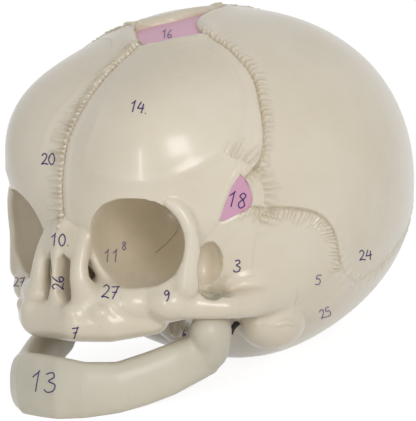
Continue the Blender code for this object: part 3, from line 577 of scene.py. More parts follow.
def placed_along(feet, line):
    """Millimetres across and along the nearest stretch of a line, for rows of points."""
    nearest = np.concatenate([
        ((line**2).sum(1) - 2 * part @ line.T).argmin(1) for part in np.array_split(feet, max(1, len(feet) // 3000))
    ])
    run = np.gradient(line, axis=0)
    run /= np.linalg.norm(run, axis=1)[:, None]
    up = line - np.array(VAULT_CENTRE)
    beside = np.cross(up / np.linalg.norm(up, axis=1)[:, None], run)
    offset = feet - line[nearest]
    side = np.sign((offset * beside[nearest]).sum(1))
    along = nearest * LINE_STEP + (offset * run[nearest]).sum(1) / MM
    return side * np.linalg.norm(offset, axis=1) / MM, along


def outer_skin(mesh):
    places = np.empty(len(mesh.vertices) * 3)
    normals = places.copy()
    mesh.vertices.foreach_get("co", places)
    mesh.vertices.foreach_get("normal", normals)
    places, normals = places.reshape(-1, 3), normals.reshape(-1, 3)
    away = places - np.array(VAULT_CENTRE)
    reach = np.linalg.norm(away, axis=1)
    rays = away / reach[:, None]
    radius = vault_radius(rays)
    outer = ((normals * rays).sum(1) > 0.2) & (reach > radius - 1.3 * MM)
    return places, rays, np.array(VAULT_CENTRE) + rays * radius[:, None], outer


def seams_on(feet, outer, profiles=None):
    """The points close to each seam, with their place across and along it."""
    for line, profile, reach, sizes in SEAMS:
        if profiles is None or profile in profiles:
            room = reach * MM
            inside = ((feet > line.min(0) - room) & (feet < line.max(0) + room)).all(1) & outer
            rows = np.nonzero(inside)[0]
            yield rows, *placed_along(feet[rows], line), profile, reach, sizes


def refined(obj):
    """Halves the edges near toothed lines."""
    _, _, feet, outer = outer_skin(obj.data)
    near = np.zeros(len(feet), bool)
    for rows, d, s, profile, reach, sizes in seams_on(feet, outer, (comb, cushion, rim)):
        near[rows[np.abs(d) < reach - 0.8]] = True
    with edited(obj) as bm:
        edges = [edge for edge in bm.edges if near[edge.verts[0].index] and near[edge.verts[1].index]]
        bmesh.ops.subdivide_edges(bm, edges=edges, cuts=1, use_grid_fill=True)


def embossed(obj):
    """First evens the skin out to the vault's own radius, then adds every seam's profile."""
    places, rays, feet, outer = outer_skin(obj.data)
    stands = ((places - feet) * rays).sum(1)
    moves = -stands * outer * (1 - smooth(np.abs(stands) / MM, 0.25, 0.7))
    for rows, d, s, profile, reach, sizes in seams_on(feet, outer):
        fade = 1 - smooth(np.abs(d), reach * 0.75, reach)
        moves[rows] += profile(d, s, **sizes) * fade * MM
    places += rays * moves[:, None]
    obj.data.vertices.foreach_set("co", places.ravel())
    obj.data.update()
    print("moved", int((moves != 0).sum()), "points of", len(moves))


refined(skull)
embossed(skull)

# %% [markdown]
# ## Painted shade and grime
# The groove and the spaces between the teeth get painted shade; the hollow of the temple gets grey-green grime
# mixed with painted shade. Two attributes on the points say how much lies there, and the plastic's material reads
# them.

# %% Marks for painted shade and grime
GRIME_AND_SHADE_REACH = (0.17, 0.20, 0.19)


def shaded(obj):
    places, _, feet, outer = outer_skin(obj.data)
    # Painted shade: the groove and the spaces between a comb's teeth are marked to be painted darker.
    painted_gap_shade = np.zeros(len(feet))
    for rows, d, s, profile, reach, sizes in seams_on(feet, outer, (comb,)):
        painted_gap_shade[rows] = np.maximum(painted_gap_shade[rows], comb(d, s, shade=True, **sizes) * (np.abs(d) < reach))
    # The temple's hollow, on its inner faces only: a mark for grey-green grime mixed with painted shade.
    off = np.abs(places * (1, 0, 0)) + places * (0, 1, 1) - np.array(at(*TEMPLE_HOLLOW))
    dim = 1 - smooth(np.linalg.norm(off / (np.array(GRIME_AND_SHADE_REACH) * FACE), axis=1), 0.75, 1.0)
    dim *= smooth(np.abs(places[:, 0]) / FACE, 0.60, 0.66) * ~outer
    for name, values in (("painted_gap_shade", painted_gap_shade), ("temple_grime_and_shade", dim)):
        obj.data.attributes.new(name, "FLOAT", "POINT").data.foreach_set("value", values)



# %% [markdown]
# ## Seats
# Before the saw comes out, room is made for the jaw's condyle, the eardrum's ring and the elastic tie, and
# the base is cut flat where the cast stands.

# %% Ring, tie and seats
EAR, EAR_RADIUS, EAR_THICK = at(0.68, 0.90, -0.62), 4.4 * MM, 1.1 * MM
TIE = ((0.54, 0.690, -0.610), (0.54, 0.705, -0.585), (0.54, 0.735, -0.562), (0.54, 0.775, -0.555))
TIE += ((0.54, 0.815, -0.556),)
TIE_RADIUS = 0.7 * MM
CONDYLE_RADIUS, CONDYLE_ROOM = 5.9 * MM, 0.45 * MM
FLOOR_BELOW = 48.5 * MM
ROOM = 0.03 * MM


def ear_ring(bm, grow=0.0):
    """A ring swept round its axis by spin."""
    axis = Vector((0.74, -0.20, -0.64)).normalized()
    across_ring = axis.cross(Vector((0, 0, 1))).normalized()
    frame_of_ring = Matrix((across_ring, axis, across_ring.cross(axis))).transposed().to_4x4()
    place = Matrix.Translation(EAR + across_ring * EAR_RADIUS) @ frame_of_ring
    made = bmesh.ops.create_circle(bm, segments=20, radius=EAR_THICK + grow, matrix=place)["verts"]
    normal = across_ring.cross(axis).cross(across_ring)
    bmesh.ops.spin(bm, geom=made + edges_of(made), cent=EAR, axis=normal, angle=2 * math.pi, steps=48, use_merge=True)
    bmesh.ops.remove_doubles(bm, verts=bm.verts, dist=EAR_THICK * 0.01)
    bmesh.ops.recalc_face_normals(bm, faces=bm.faces)


def tie(bm, grow=0.0):
    rings = []
    for i, link in enumerate(TIE):
        along = (at(*TIE[min(i + 1, len(TIE) - 1)]) - at(*TIE[max(i - 1, 0)])).normalized()
        side = along.cross(Vector((0, 0, 1))).normalized()
        up = side.cross(along)
        centre = at(*link) + along * (grow * (1 if i == len(TIE) - 1 else -1 if i == 0 else 0))
        rings.append([centre + (side * math.cos(t) + up * math.sin(t)) * (TIE_RADIUS + grow) for t in turns_round(16)])
    tube(bm, rings)


def condyle_room(bm):
    reach = CONDYLE_RADIUS + CONDYLE_ROOM
    ball(bm, CONDYLE, (reach * 0.9, reach, reach))


def foot(bm):
    """A block whose top is the table."""
    place = LEAN.inverted() @ Matrix.Translation((0, FACE, -FLOOR_BELOW - FACE / 2))
    bmesh.ops.create_cube(bm, size=1, matrix=place @ Matrix.Diagonal((4 * FACE, 6 * FACE, FACE, 1)))


SEATS = (condyle_room, lambda bm: ear_ring(bm, ROOM), lambda bm: tie(bm, ROOM))
for shapes in [(seat, both_sides) for seat in SEATS] + [(foot,)]:
    work(skull, clay("seat", *shapes))
print("seats cut, faces now", len(skull.data.polygons))

# %% [markdown]
# ## Sawing the bones apart
# Knives spread from the vault's centre through the suture lines, or go straight through the face. Each knife
# takes its bone out of what is left, with a hair's gap, so that neighbours match. The left half is sawn in
# full. Of the right half only the forehead and the parietal are sawn, as they lean; its other bones are
# mirror images, and bones that cross the middle are a half joined to its mirror image.

# %% Knives
HAIR = 0.015 * MM
FAR = 4 * FACE


def wedge(rays, heart=None, start=0.01):
    """All that lies within five or more directions. With four, a side would pass for a cap."""
    def shape(bm):
        middle = Vector(rays_of([heart])[0] if heart else rays.sum(0)).normalized()
        rings = [[VAULT_CENTRE + Vector(ray) * reach for ray in rays] for reach in (start * FACE, FAR)]
        before = set(bm.faces)
        tube(bm, rings)
        caps = [face for face in bm.faces if face not in before and len(face.verts) == len(rays)]
        for cap in caps:
            reach = (cap.verts[0].co - VAULT_CENTRE).length
            bmesh.ops.poke(bm, faces=[cap])["verts"][0].co = VAULT_CENTRE + middle * reach
        bmesh.ops.recalc_face_normals(bm, faces=bm.faces)

    return shape


def prism(outline, axis, low, high):
    def corner(a, b, along):
        place = [a, b]
        place.insert(axis, along)
        return at(*place)

    return lambda bm: tube(bm, [[corner(a, b, share) for a, b in outline] for share in (low, high)])


def side_block(side, start=0.0, leans=True):
    """All that lies on one side of the middle, leaning or straight."""
    def shape(bm):
        size = Matrix.Diagonal((FAR, 2 * FAR, 2 * FAR, 1))
        place = Matrix.Translation(VAULT_CENTRE + Vector((side * FAR / 2, 0, 0))) @ size
        bmesh.ops.create_cube(bm, size=1, matrix=place)
        inner = [face for face in bm.faces if abs(face.calc_center_median().x) < FACE * 0.01]
        edges = [edge for face in inner for edge in face.edges]
        bmesh.ops.subdivide_edges(bm, edges=edges, cuts=120, use_grid_fill=True)
        plain = [vert for vert in bm.verts if abs(vert.co.x) < FACE * 0.01]
        rays = np.array([vert.co - VAULT_CENTRE for vert in plain])
        for vert, shift in zip(plain, leaning(rays)):
            vert.co.x = shift * leans + side * start

    return shape


def grown(obj, by):
    with edited(obj) as bm:
        bm.normal_update()
        for vert, move in [(vert, vert.normal * (by * vert.calc_shell_factor())) for vert in bm.verts]:
            vert.co += move
    return obj


def copied(obj, name):
    return linked(name, obj.data.copy())


def largest_only(obj):
    """Keeps the largest connected body of a mesh."""
    with edited(obj) as bm:
        left, groups = set(bm.verts), []
        while left:
            group = {left.pop()}
            border = list(group)
            while border:
                new = {vert for edge in border.pop().link_edges for vert in edge.verts} & left
                left -= new
                group |= new
                border += new
            groups.append(group)
        groups.sort(key=len)
        bmesh.ops.delete(bm, geom=[vert for group in groups[:-1] for vert in group], context="VERTS")
    return obj


def take(rest, name, shape, *extras):
    """Saws a bone out of the rest, with a hair's gap all round."""
    knife = clay("knife", shape)
    for extra in extras:
        work(knife, clay("extra", extra), "UNION")
    outer = grown(copied(knife, "outer"), HAIR / 2)
    bone = work(copied(rest, name), grown(knife, -HAIR / 2), "INTERSECT")
    work(rest, outer)
    return largest_only(bone)


GAP_START = (HALF_WIDTH - 3.6 * MM) / FACE
SIDE_START = (float(vault_radius(rays_of(SPHENOIDAL)).min()) - 2.7 * MM) / FACE
FRONTAL_RAYS = rays_of(((-30, 30), (-28, 62), (34, 61)) + CORONAL + ((50.5, 4.5),) + FRONTAL_BASE + ((-12, -4),))
PARIETAL_RAYS = rays_of(((-20, 20), (20, 20), (45, 5)) + SQUAMOUS + LAMBDOID[1:] + ((-172, 24), (-90, 60)))
PETROMASTOID_RAYS = rays_of(((104, -15),) + MASTOID_TOP + ((-90, -70), (180, -70), (140, -50)))
NASAL = ((-0.08, 0.01), (0.084, -0.016), (0.092, -0.19), (-0.08, -0.22))
LACRIMAL = ((0.11, -0.08), (0.22, -0.08), (0.22, -0.24), (0.12, -0.26))
VOMER = ((-0.16, -0.194), (0.226, -0.12), (0.226, -0.32), (0.60, -0.32), (0.60, -0.42), (-0.16, -0.42))
ETHMOID = ((-0.06, 0.16), (0.17, 0.16), (0.176, -0.31), (-0.06, -0.31))
MAXILLA = ((-0.06, 0.02), (0.184, -0.044), (0.212, -0.26), (0.35, -0.33), (0.38, -0.45), (0.44, -0.50), (0.54, -0.55))
MAXILLA += ((0.54, -0.80), (-0.06, -0.80))
ZYGOMATIC = ((-0.12, -0.052), (0.37, -0.052), (0.39, -0.16), (0.376, -0.31), (0.56, -0.31), (0.51, -0.60))
ZYGOMATIC += ((-0.12, -0.60),)
BASILAR = ((-0.06, 0.88), (0.18, 0.88), (0.20, 1.08), (0.12, 1.16), (-0.06, 1.16))
LATERAL = ((-0.06, 1.16), (0.12, 1.16), (0.20, 1.07), (0.38, 1.07), (0.454, 1.144), (0.522, 1.25), (0.54, 1.32))
LATERAL += ((0.44, 1.46), (-0.06, 1.46))
SQUAMA = ((-0.06, 1.46), (0.44, 1.46), (0.54, 1.32), (0.594, 1.314), (0.682, 1.348), (0.726, 1.384), (1.20, 1.50))
SQUAMA += ((1.20, 2.80), (-0.06, 2.80))
TEMPORAL = ((0.63, 0.16), (0.66, -0.16), (0.69, -0.36), (0.72, -0.80), (1.60, -0.80), (1.60, 0.16))
ARCH = ((0.40, -0.30), (0.72, -0.30), (0.72, -0.80), (0.40, -0.80))
BODY = ((0.50, 0.30), (0.88, 0.30), (0.88, -0.90), (0.50, -0.90))
WING = ((0.30, 0.30), (1.10, 0.30), (1.10, -0.90), (0.30, -0.90))
EARLY = (
    ("anterior_gap", "gap", wedge(whole_anterior, None, GAP_START)),
    ("sphenoidal_gap", "gap", wedge(rays_of(SPHENOIDAL), None, SIDE_START)),
    ("posterior_gap", "gap", wedge(rays_of(POSTERIOR), None, GAP_START)),
    ("nasal_bone", "twin", prism(NASAL, 1, -0.20, 0.11)),
    ("lacrimal_bone", "twin", prism(LACRIMAL, 0, 0.13, 0.21)),
    ("vomer", "single", prism(VOMER, 0, -0.06, 0.024)),
    ("ethmoid_bone", "single", prism(ETHMOID, 1, 0.22, 0.60)),
    ("maxilla", "twin", prism(MAXILLA, 1, -0.30, 0.50)),
    ("zygomatic_bone", "twin", prism(ZYGOMATIC, 0, 0.20, 1.0)),
)
LATE = (
    ("frontal_bone", "own", wedge(FRONTAL_RAYS, (20, 25))),
    ("parietal_bone", "own", wedge(PARIETAL_RAYS, (90, 40))),
    ("occipital_basilar_part", "single", prism(BASILAR, 2, -1.2, -0.20)),
    ("occipital_lateral_part", "twin", prism(LATERAL, 2, -1.2, -0.20)),
    ("occipital_squama", "single", prism(SQUAMA, 2, -1.2, 0.80)),
    ("sphenoid_body", "single", prism(BODY, 0, -0.06, 0.183)),
    ("petromastoid_part", "twin", wedge(PETROMASTOID_RAYS, (85, -62))),
    ("temporal_squama", "twin", prism(TEMPORAL, 0, 0.30, 1.2), prism(ARCH, 0, 0.60, 1.2)),
    ("sphenoid_wing", "twin", prism(WING, 0, 0.19, 1.0)),
)


def flip(bm):
    bmesh.ops.scale(bm, vec=(-1, 1, 1), verts=bm.verts)
    bmesh.ops.reverse_faces(bm, faces=bm.faces)


def mirrored(obj, name):
    twin = copied(obj, name)
    with edited(twin) as bm:
        flip(bm)
    return twin


def made_whole(obj):
    """Joins a half that was cut at the middle to its mirror image."""
    near = HAIR * 0.1
    with edited(obj) as bm:
        for vert in bm.verts:
            if abs(vert.co.x) < near:
                vert.co.x = 0
        middle = [face for face in bm.faces if all(vert.co.x == 0 for vert in face.verts)]
        bmesh.ops.delete(bm, geom=middle, context="FACES")
        both_sides(bm)
        bmesh.ops.remove_doubles(bm, verts=[vert for vert in bm.verts if vert.co.x == 0], dist=near)
    return obj


# %% [markdown]
# The right half's first knives are the mirror images of the left ones. Each is drawn in the same way, and
# then flipped over. The front fontanelle's knife crosses the middle and serves both halves as it is.

# %% Saw
right_half = work(copied(skull, "right_half"), clay("side", side_block(-1, HAIR / 2)), "INTERSECT")
left_half = work(skull, clay("side", side_block(1, leans=False)), "INTERSECT")
bones = {}
for name, kind, *shapes in EARLY + LATE:
    if name == LATE[0][0]:
        work(left_half, clay("side", side_block(1)), "INTERSECT")
    bone = take(left_half, name, *shapes)
    if kind == "gap":
        bpy.data.objects.remove(bone)
    elif kind == "single":
        bones[name] = made_whole(bone)
    else:
        work(bone, clay("side", side_block(1, HAIR / 2, kind == "own")), "INTERSECT")
        bones[name + "_left"] = bone
        if kind == "twin":
            bones[name + "_right"] = mirrored(bone, name + "_right")
bpy.data.objects.remove(left_half)

for name, kind, shape in EARLY:
    work(right_half, grown(clay("knife", shape, *(() if name == "anterior_gap" else (flip,))), HAIR / 2))
for name, rays, heart in (("frontal_bone", FRONTAL_RAYS, (-20, 25)), ("parietal_bone", PARIETAL_RAYS, (-90, 40))):
    bones[name + "_right"] = take(right_half, name + "_right", wedge(across(rays), heart))
bpy.data.objects.remove(right_half)
print(len(bones), "bones,", sum(len(bone.data.polygons) for bone in bones.values()), "faces")

# %% [markdown]
# ## Membranes
# A fontanelle is a sheet of tough membrane where bones don't yet meet. Here it is a thin shell that follows
# the vault below its skin, cut to the gap's own outline. The front one lies deep between swollen lips; the
# one at the temple is nearly flush.

# %% Fontanelles
def membrane(rays, depth, thick=0.9 * MM):
    shell = clay("membrane", lambda bm: vault(bm, depth))
    work(shell, clay("inside", lambda bm: vault(bm, depth + thick)))
    work(shell, grown(clay("knife", wedge(rays)), -HAIR / 2), "INTERSECT")
    return largest_only(shell)


skins = {
    "anterior_fontanelle": membrane(whole_anterior, 1.7 * MM),
    "posterior_fontanelle": membrane(rays_of(POSTERIOR), 1.5 * MM),
    "sphenoidal_fontanelle_left": membrane(rays_of(SPHENOIDAL), 0.3 * MM),
}
skins["sphenoidal_fontanelle_right"] = mirrored(skins["sphenoidal_fontanelle_left"], "membrane")
print("membranes:", {name: len(skin.data.polygons) for name, skin in skins.items()})

# %% [markdown]
# ## The lower jaw
# The jaw is a toothless arch. Sections along its left half give its height and thickness; a mirror image
# closes it at the chin, and a ball at each end turns in its socket.

# %% Jaw, rings and ties
JAW = (
    (0.0, -0.125, -0.846, 0.164, 0.064),
    (0.12, -0.118, -0.848, 0.162, 0.064),
    (0.23, -0.050, -0.855, 0.145, 0.068),
    (0.33, 0.075, -0.845, 0.132, 0.072),
    (0.41, 0.205, -0.805, 0.135, 0.074),
    (0.475, 0.335, -0.760, 0.135, 0.072),
    (0.52, 0.455, -0.715, 0.125, 0.072),
    (0.55, 0.560, -0.690, 0.105, 0.066),
)
JAW_BARS = (
    ((0.55, 0.52, -0.68, 0.10), (0.575, 0.51, -0.62, 0.10)),
    ((0.48, 0.36, -0.74, 0.06), (0.49, 0.33, -0.675, 0.045)),
)


def jaw_forms(bm):
    rings = []
    for i, (x, y, z, tall, thick) in enumerate(JAW):
        before, after = at(*JAW[max(i - 1, 0)][:2], 0), at(*JAW[min(i + 1, len(JAW) - 1)][:2], 0)
        along = (after - before).normalized() if i else Vector((1, 0, 0))
        side = along.cross(Vector((0, 0, 1)))
        corners = [squarish(turn, 2.5) for turn in turns_round(32)]
        rings.append([at(x, y, z) + (side * (thick * a) + Vector((0, 0, tall * b))) * FACE for a, b in corners])
    tube(bm, rings)
    for links in JAW_BARS:
        chain(bm, links)
    ball(bm, CONDYLE, (CONDYLE_RADIUS * 0.85, CONDYLE_RADIUS, CONDYLE_RADIUS))
    both_sides(bm)


jaw = melted(clay("jaw", jaw_forms), smoothing=8)
work(jaw, clay("foot", foot))
fittings = {"tympanic_ring_left": clay("ring", ear_ring), "jaw_tie_left": clay("tie", tie)}
for name in list(fittings):
    fittings[name.replace("left", "right")] = mirrored(fittings[name], "fitting")
print("jaw:", len(jaw.data.polygons), "faces")

# %% [markdown]
# ## Plastic, paint, elastic and ink
# The cast is ivory plastic with a soft gloss. It isn't perfectly even: the colour drifts a little, pores
# show as tiny dark dots, and the skin is faintly wavy. One node group makes that drift, adds painted shade
# between the teeth and grey-green grime mixed with painted shade in the temple's hollow, and every material
# mixes it in with its own strength.

# %% A node group for the cast's surface
def srgb(red, green, blue):
    shares = [value / 255 for value in (red, green, blue)]
    return (*[(s / 12.92 if s < 0.04045 else ((s + 0.055) / 1.055) ** 2.4) for s in shares], 1)


def cast_group():
    group = bpy.data.node_groups.new("cast_surface", "ShaderNodeTree")
    face_of = group.interface
    for name, kind, value in (
        ("Color", "NodeSocketColor", (0.6, 0.5, 0.4, 1)),
        ("Stain", "NodeSocketColor", (0.5, 0.4, 0.3, 1)),
        ("Drift", "NodeSocketFloat", 0.3),
        ("Roughness", "NodeSocketFloat", 0.35),
    ):
        face_of.new_socket(name, in_out="INPUT", socket_type=kind).default_value = value
    for name, kind in (("Color", "NodeSocketColor"), ("Roughness", "NodeSocketFloat"), ("Height", "NodeSocketFloat")):
        face_of.new_socket(name, in_out="OUTPUT", socket_type=kind)
    nodes, links = group.nodes, group.links
    inlet, outlet = nodes.new("NodeGroupInput"), nodes.new("NodeGroupOutput")
    place = nodes.new("ShaderNodeTexCoord")

    def noise(scale, detail):
        node = nodes.new("ShaderNodeTexNoise")
        node.inputs["Scale"].default_value = scale
        node.inputs["Detail"].default_value = detail
        links.new(place.outputs["Object"], node.inputs["Vector"])
        return node.outputs["Fac"]

    def ramp(source, low, high, start=0.0, stop=1.0):
        node = nodes.new("ShaderNodeMapRange")
        for socket, value in zip(("From Min", "From Max", "To Min", "To Max"), (low, high, start, stop)):
            node.inputs[socket].default_value = value
        links.new(source, node.inputs["Value"])
        return node.outputs["Result"]

    def fed(sockets, values):
        for socket, value in zip(sockets, values):
            if isinstance(value, bpy.types.NodeSocket):
                links.new(value, socket)
            else:
                socket.default_value = value

    def sums(operation, first, second):
        node = nodes.new("ShaderNodeMath")
        node.operation = operation
        fed(node.inputs, (first, second))
        return node.outputs[0]

    def tinted(factor, first, second):
        node = nodes.new("ShaderNodeMix")
        node.data_type = "RGBA"
        fed([node.inputs[name] for name in ("Factor", "A", "B")], (factor, first, second))
        return node.outputs["Result"]

    broad, fine = noise(38, 3), noise(420, 2)
    pores = nodes.new("ShaderNodeTexVoronoi")
    pores.inputs["Scale"].default_value = 260
    links.new(place.outputs["Object"], pores.inputs["Vector"])
    dots = ramp(pores.outputs["Distance"], 0.05, 0.11, 1, 0)
    rare = ramp(noise(95, 1), 0.60, 0.66)
    dots = sums("MULTIPLY", dots, rare)
    drift = sums("MULTIPLY", ramp(broad, 0.35, 0.7), inlet.outputs["Drift"])
    drift = sums("ADD", drift, sums("MULTIPLY", ramp(fine, 0.4, 0.75), 0.06))
    drift = sums("ADD", drift, sums("MULTIPLY", dots, 0.35))
    color = tinted(drift, inlet.outputs["Color"], inlet.outputs["Stain"])
    scratches = ramp(noise(900, 1), 0.45, 0.6, 0.75, 1)
    # Painted shade darkens the groove and the spaces between the teeth to a beige. The temple's hollow darkens to
    # grey-green, grime mixed with painted shade, streaked by the scratches.
    for name, shade_and_grime, strength in (("painted_gap_shade", srgb(184, 168, 140), 0.45), ("temple_grime_and_shade", srgb(146, 152, 140), scratches)):
        mark = nodes.new("ShaderNodeAttribute")
        mark.attribute_name = name
        color = tinted(sums("MULTIPLY", mark.outputs["Fac"], strength), color, shade_and_grime)
    links.new(color, outlet.inputs["Color"])
    gloss = sums("ADD", inlet.outputs["Roughness"], ramp(noise(60, 2), 0, 1, -0.04, 0.04))
    links.new(gloss, outlet.inputs["Roughness"])
    waves = sums("ADD", ramp(noise(85, 2), 0, 1), sums("MULTIPLY", noise(700, 2), 0.10))
    links.new(sums("SUBTRACT", waves, sums("MULTIPLY", dots, 0.4)), outlet.inputs["Height"])
    return group


CAST = cast_group()

# %% Materials
def material(name, color, stain, drift, roughness, coat=0.0, bump=0.1, soft=0.0):
    made = bpy.data.materials.new(name)
    made.use_nodes = True
    nodes, links = made.node_tree.nodes, made.node_tree.links
    shader = nodes["Principled BSDF"]
    group = nodes.new("ShaderNodeGroup")
    group.node_tree = CAST
    for socket, value in (("Color", color), ("Stain", stain), ("Drift", drift), ("Roughness", roughness)):
        group.inputs[socket].default_value = value
    relief = nodes.new("ShaderNodeBump")
    relief.inputs["Strength"].default_value = bump
    relief.inputs["Distance"].default_value = 0.4 * MM
    links.new(group.outputs["Color"], shader.inputs["Base Color"])
    links.new(group.outputs["Roughness"], shader.inputs["Roughness"])
    links.new(group.outputs["Height"], relief.inputs["Height"])
    links.new(relief.outputs["Normal"], shader.inputs["Normal"])
    shader.inputs["IOR"].default_value = 1.5
    shader.inputs["Coat Weight"].default_value = coat
    shader.inputs["Coat Roughness"].default_value = 0.12
    if soft:
        shader.inputs["Subsurface Weight"].default_value = soft
        shader.inputs["Subsurface Radius"].default_value = (1.0, 0.8, 0.55)
        shader.inputs["Subsurface Scale"].default_value = 1.5 * MM
    return made


BONE = material("ivory_plastic", srgb(231, 220, 200), srgb(205, 190, 160), 0.35, 0.30, coat=0.25, bump=0.12, soft=0.12)
JAW_LOOK = material("jaw_plastic", srgb(218, 210, 190), srgb(190, 184, 168), 0.45, 0.40, coat=0.1, bump=0.2, soft=0.12)
PINK = material("pink_paint", srgb(218, 166, 190), srgb(204, 148, 176), 0.5, 0.42, bump=0.25)
# The front fontanelle has the same pink paint, made lighter: painted light that offsets the shade of its deep hollow.
LIGHTENED_PINK = material("pink_paint_lightened", srgb(240, 190, 208), srgb(226, 172, 196), 0.5, 0.42, bump=0.25)
ELASTIC = material("black_elastic", srgb(26, 26, 28), srgb(40, 40, 42), 0.5, 0.6, bump=0.4)
INK = material("blue_ink", srgb(52, 34, 92), srgb(70, 52, 120), 0.5, 0.55, bump=0.1)
FAINT_INK = material("faint_ink", srgb(120, 104, 140), srgb(150, 134, 150), 0.6, 0.5, bump=0.1)

# %% [markdown]
# ## Standing the pieces up
# Every fine piece is stood up with the pose, takes the place of its CAD node and rides on its body: the
# bones on the cranium, the jaw on its own hinge.

# %% Dress the frame
SHARP = math.radians(50)


def dressed(obj, node, look, slot, body="cranium"):
    obj.name = node + "_cast"
    obj.data.name = obj.name
    obj.data.transform(POSE)
    obj.data.shade_smooth()
    obj.data.set_sharp_from_angle(angle=SHARP)
    obj.data.materials.clear()
    obj.data.materials.append(look)
    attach(obj, body)
    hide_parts(node)


for node, bone in bones.items():
    shaded(bone)
    dressed(bone, node, BONE, "bone_plastic")
for node, skin in skins.items():
    # The front fontanelle takes the lightened pink, painted light against the shade of its deep hollow.
    dressed(skin, node, LIGHTENED_PINK if "anterior" in node else PINK, "membrane")
for node, fitting in fittings.items():
    dressed(fitting, node, *((BONE, "bone_plastic") if "ring" in node else (ELASTIC, "elastic")))
dressed(jaw, "mandible", JAW_LOOK, "jaw_plastic", "jaw")

# %% [markdown]
# ## Numerals in ink
# A teacher wrote plain numbers on the bones. Each numeral is a few pen strokes in the picture's plane. A ray
# through every point of a stroke finds the plastic, and a thin line half sunk in it is the ink.

# %% Pen strokes
STROKES = {
    "0": (((0.32, 1), (0.08, 0.7), (0.06, 0.3), (0.26, 0), (0.5, 0.2), (0.56, 0.65), (0.42, 0.95), (0.3, 1)),),
    "1": (((0.12, 0.72), (0.42, 1), (0.40, 0.95), (0.3, 0)),),
    "2": (((0.1, 0.8), (0.3, 1), (0.54, 0.82), (0.4, 0.45), (0.06, 0.04), (0.3, 0.1), (0.62, 0.02)),),
    "3": (((0.1, 0.9), (0.4, 1), (0.5, 0.78), (0.24, 0.56), (0.56, 0.4), (0.5, 0.1), (0.22, 0), (0.04, 0.12)),),
    "4": (((0.3, 1), (0.06, 0.45), (0.1, 0.4), (0.62, 0.46)), ((0.52, 0.85), (0.42, 0))),
    "5": (((0.58, 1), (0.2, 0.96), (0.14, 0.6), (0.42, 0.62), (0.54, 0.36), (0.38, 0.06), (0.06, 0.06)),),
    "6": (((0.5, 1), (0.18, 0.66), (0.05, 0.25), (0.25, 0), (0.5, 0.16), (0.42, 0.42), (0.1, 0.3)),),
    "7": (((0.05, 0.9), (0.56, 0.98), (0.54, 0.94), (0.22, 0)), ((0.14, 0.5), (0.5, 0.55))),
    "8": (((0.4, 0.55), (0.12, 0.78), (0.32, 1), (0.5, 0.8), (0.1, 0.3), (0.24, 0), (0.5, 0.22), (0.36, 0.55)),),
    "9": (((0.5, 0.8), (0.28, 1), (0.08, 0.76), (0.26, 0.56), (0.5, 0.8), (0.42, 0.3), (0.26, 0)),),
    ".": (((0.1, 0.05), (0.14, 0.02)),),
}
NUMERALS = (
    ("14.", 137, 107, 11, -8, INK), ("20", 48, 159, 11, 0, INK), ("10.", 58, 240, 12, 0, INK),
    ("11", 111, 256, 12, 0, FAINT_INK), ("8", 124, 246, 8, 0, FAINT_INK), ("27", 110, 292, 13, -8, INK),
    ("9", 167, 296, 11, 0, INK), ("26", 58, 283, 11, 90, INK), ("7", 75, 333, 11, 0, INK),
    ("13", 43, 382, 20, -4, INK), ("6", 184, 333, 6, 0, INK), ("3", 237, 266, 12, -6, INK),
    ("5", 318, 280, 10, -6, FAINT_INK), ("24", 365, 255, 10, 6, INK), ("25", 325, 313, 9, 20, FAINT_INK),
    ("18", 237, 200, 15, -8, INK), ("16", 167, 34, 8, 0, FAINT_INK), ("27", 19, 282, 9, 0, FAINT_INK),
)


PEN_RADIUS, PEN_LIFT = 0.17 * MM, 0.02 * MM
LETTER_STEP, LETTER_GAP = 0.68, 0.08


def struck(graph, px, py):
    """What the camera's ray through a pixel meets, and the ray's own way."""
    way = Vector(((px - WIDTH_PX / 2) / LENS_PX, -(py - HEIGHT_PX / 2) / LENS_PX, -1))
    way = (camera.matrix_world.to_3x3() @ way).normalized()
    hit, spot, normal, _, obj, _ = bpy.context.scene.ray_cast(graph, camera.matrix_world.translation, way)
    return hit, spot, normal, obj, way


def numeral(name, text, px, py, height, turn, look):
    graph = bpy.context.evaluated_depsgraph_get()
    line = bpy.data.curves.new(name, "CURVE")
    line.dimensions = "3D"
    line.bevel_depth, line.bevel_resolution, line.use_fill_caps = PEN_RADIUS, 1, True
    width = LETTER_STEP * len(text.rstrip(".")) - LETTER_GAP
    spin = Matrix.Rotation(math.radians(turn), 2)
    target = ""
    for i, sign in enumerate(text):
        for stroke in STROKES[sign]:
            points = []
            for x, y in curved(np.array((stroke[0], *stroke, stroke[-1]), float), 0.16):
                u, v = spin @ Vector(((x + LETTER_STEP * i - width / 2) * height, (y - 0.5) * height))
                hit, spot, normal, obj, _ = struck(graph, px + u, py - v)
                if hit:
                    points.append(spot + normal * PEN_LIFT)
                    target = obj.name
            if len(points) > 1:
                spline = line.splines.new("POLY")
                spline.points.add(len(points) - 1)
                for point, place in zip(spline.points, points):
                    point.co = (*place, 1)
    drawn = linked(name + "_line", line)
    bpy.context.view_layer.update()
    mesh = bpy.data.meshes.new_from_object(drawn.evaluated_get(bpy.context.evaluated_depsgraph_get()))
    bpy.data.objects.remove(drawn)
    obj = linked(name, mesh)
    mesh.shade_smooth()
    mesh.materials.clear()
    mesh.materials.append(look)
    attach(obj, "jaw" if target.startswith("mandible") else "cranium")
    return target


bpy.context.view_layer.update()
for count, row in enumerate(NUMERALS):
    print(row[0], "is written on", numeral("numeral_" + str(count + 1), *row))

# %% [markdown]
# ## Studio
# The picture was taken on white. A wide soft light fills from everywhere, and two softboxes give the narrow
# and the wide gleam on the forehead. Each box is placed where the camera would see it mirrored in the
# plastic at the gleam's own pixel.

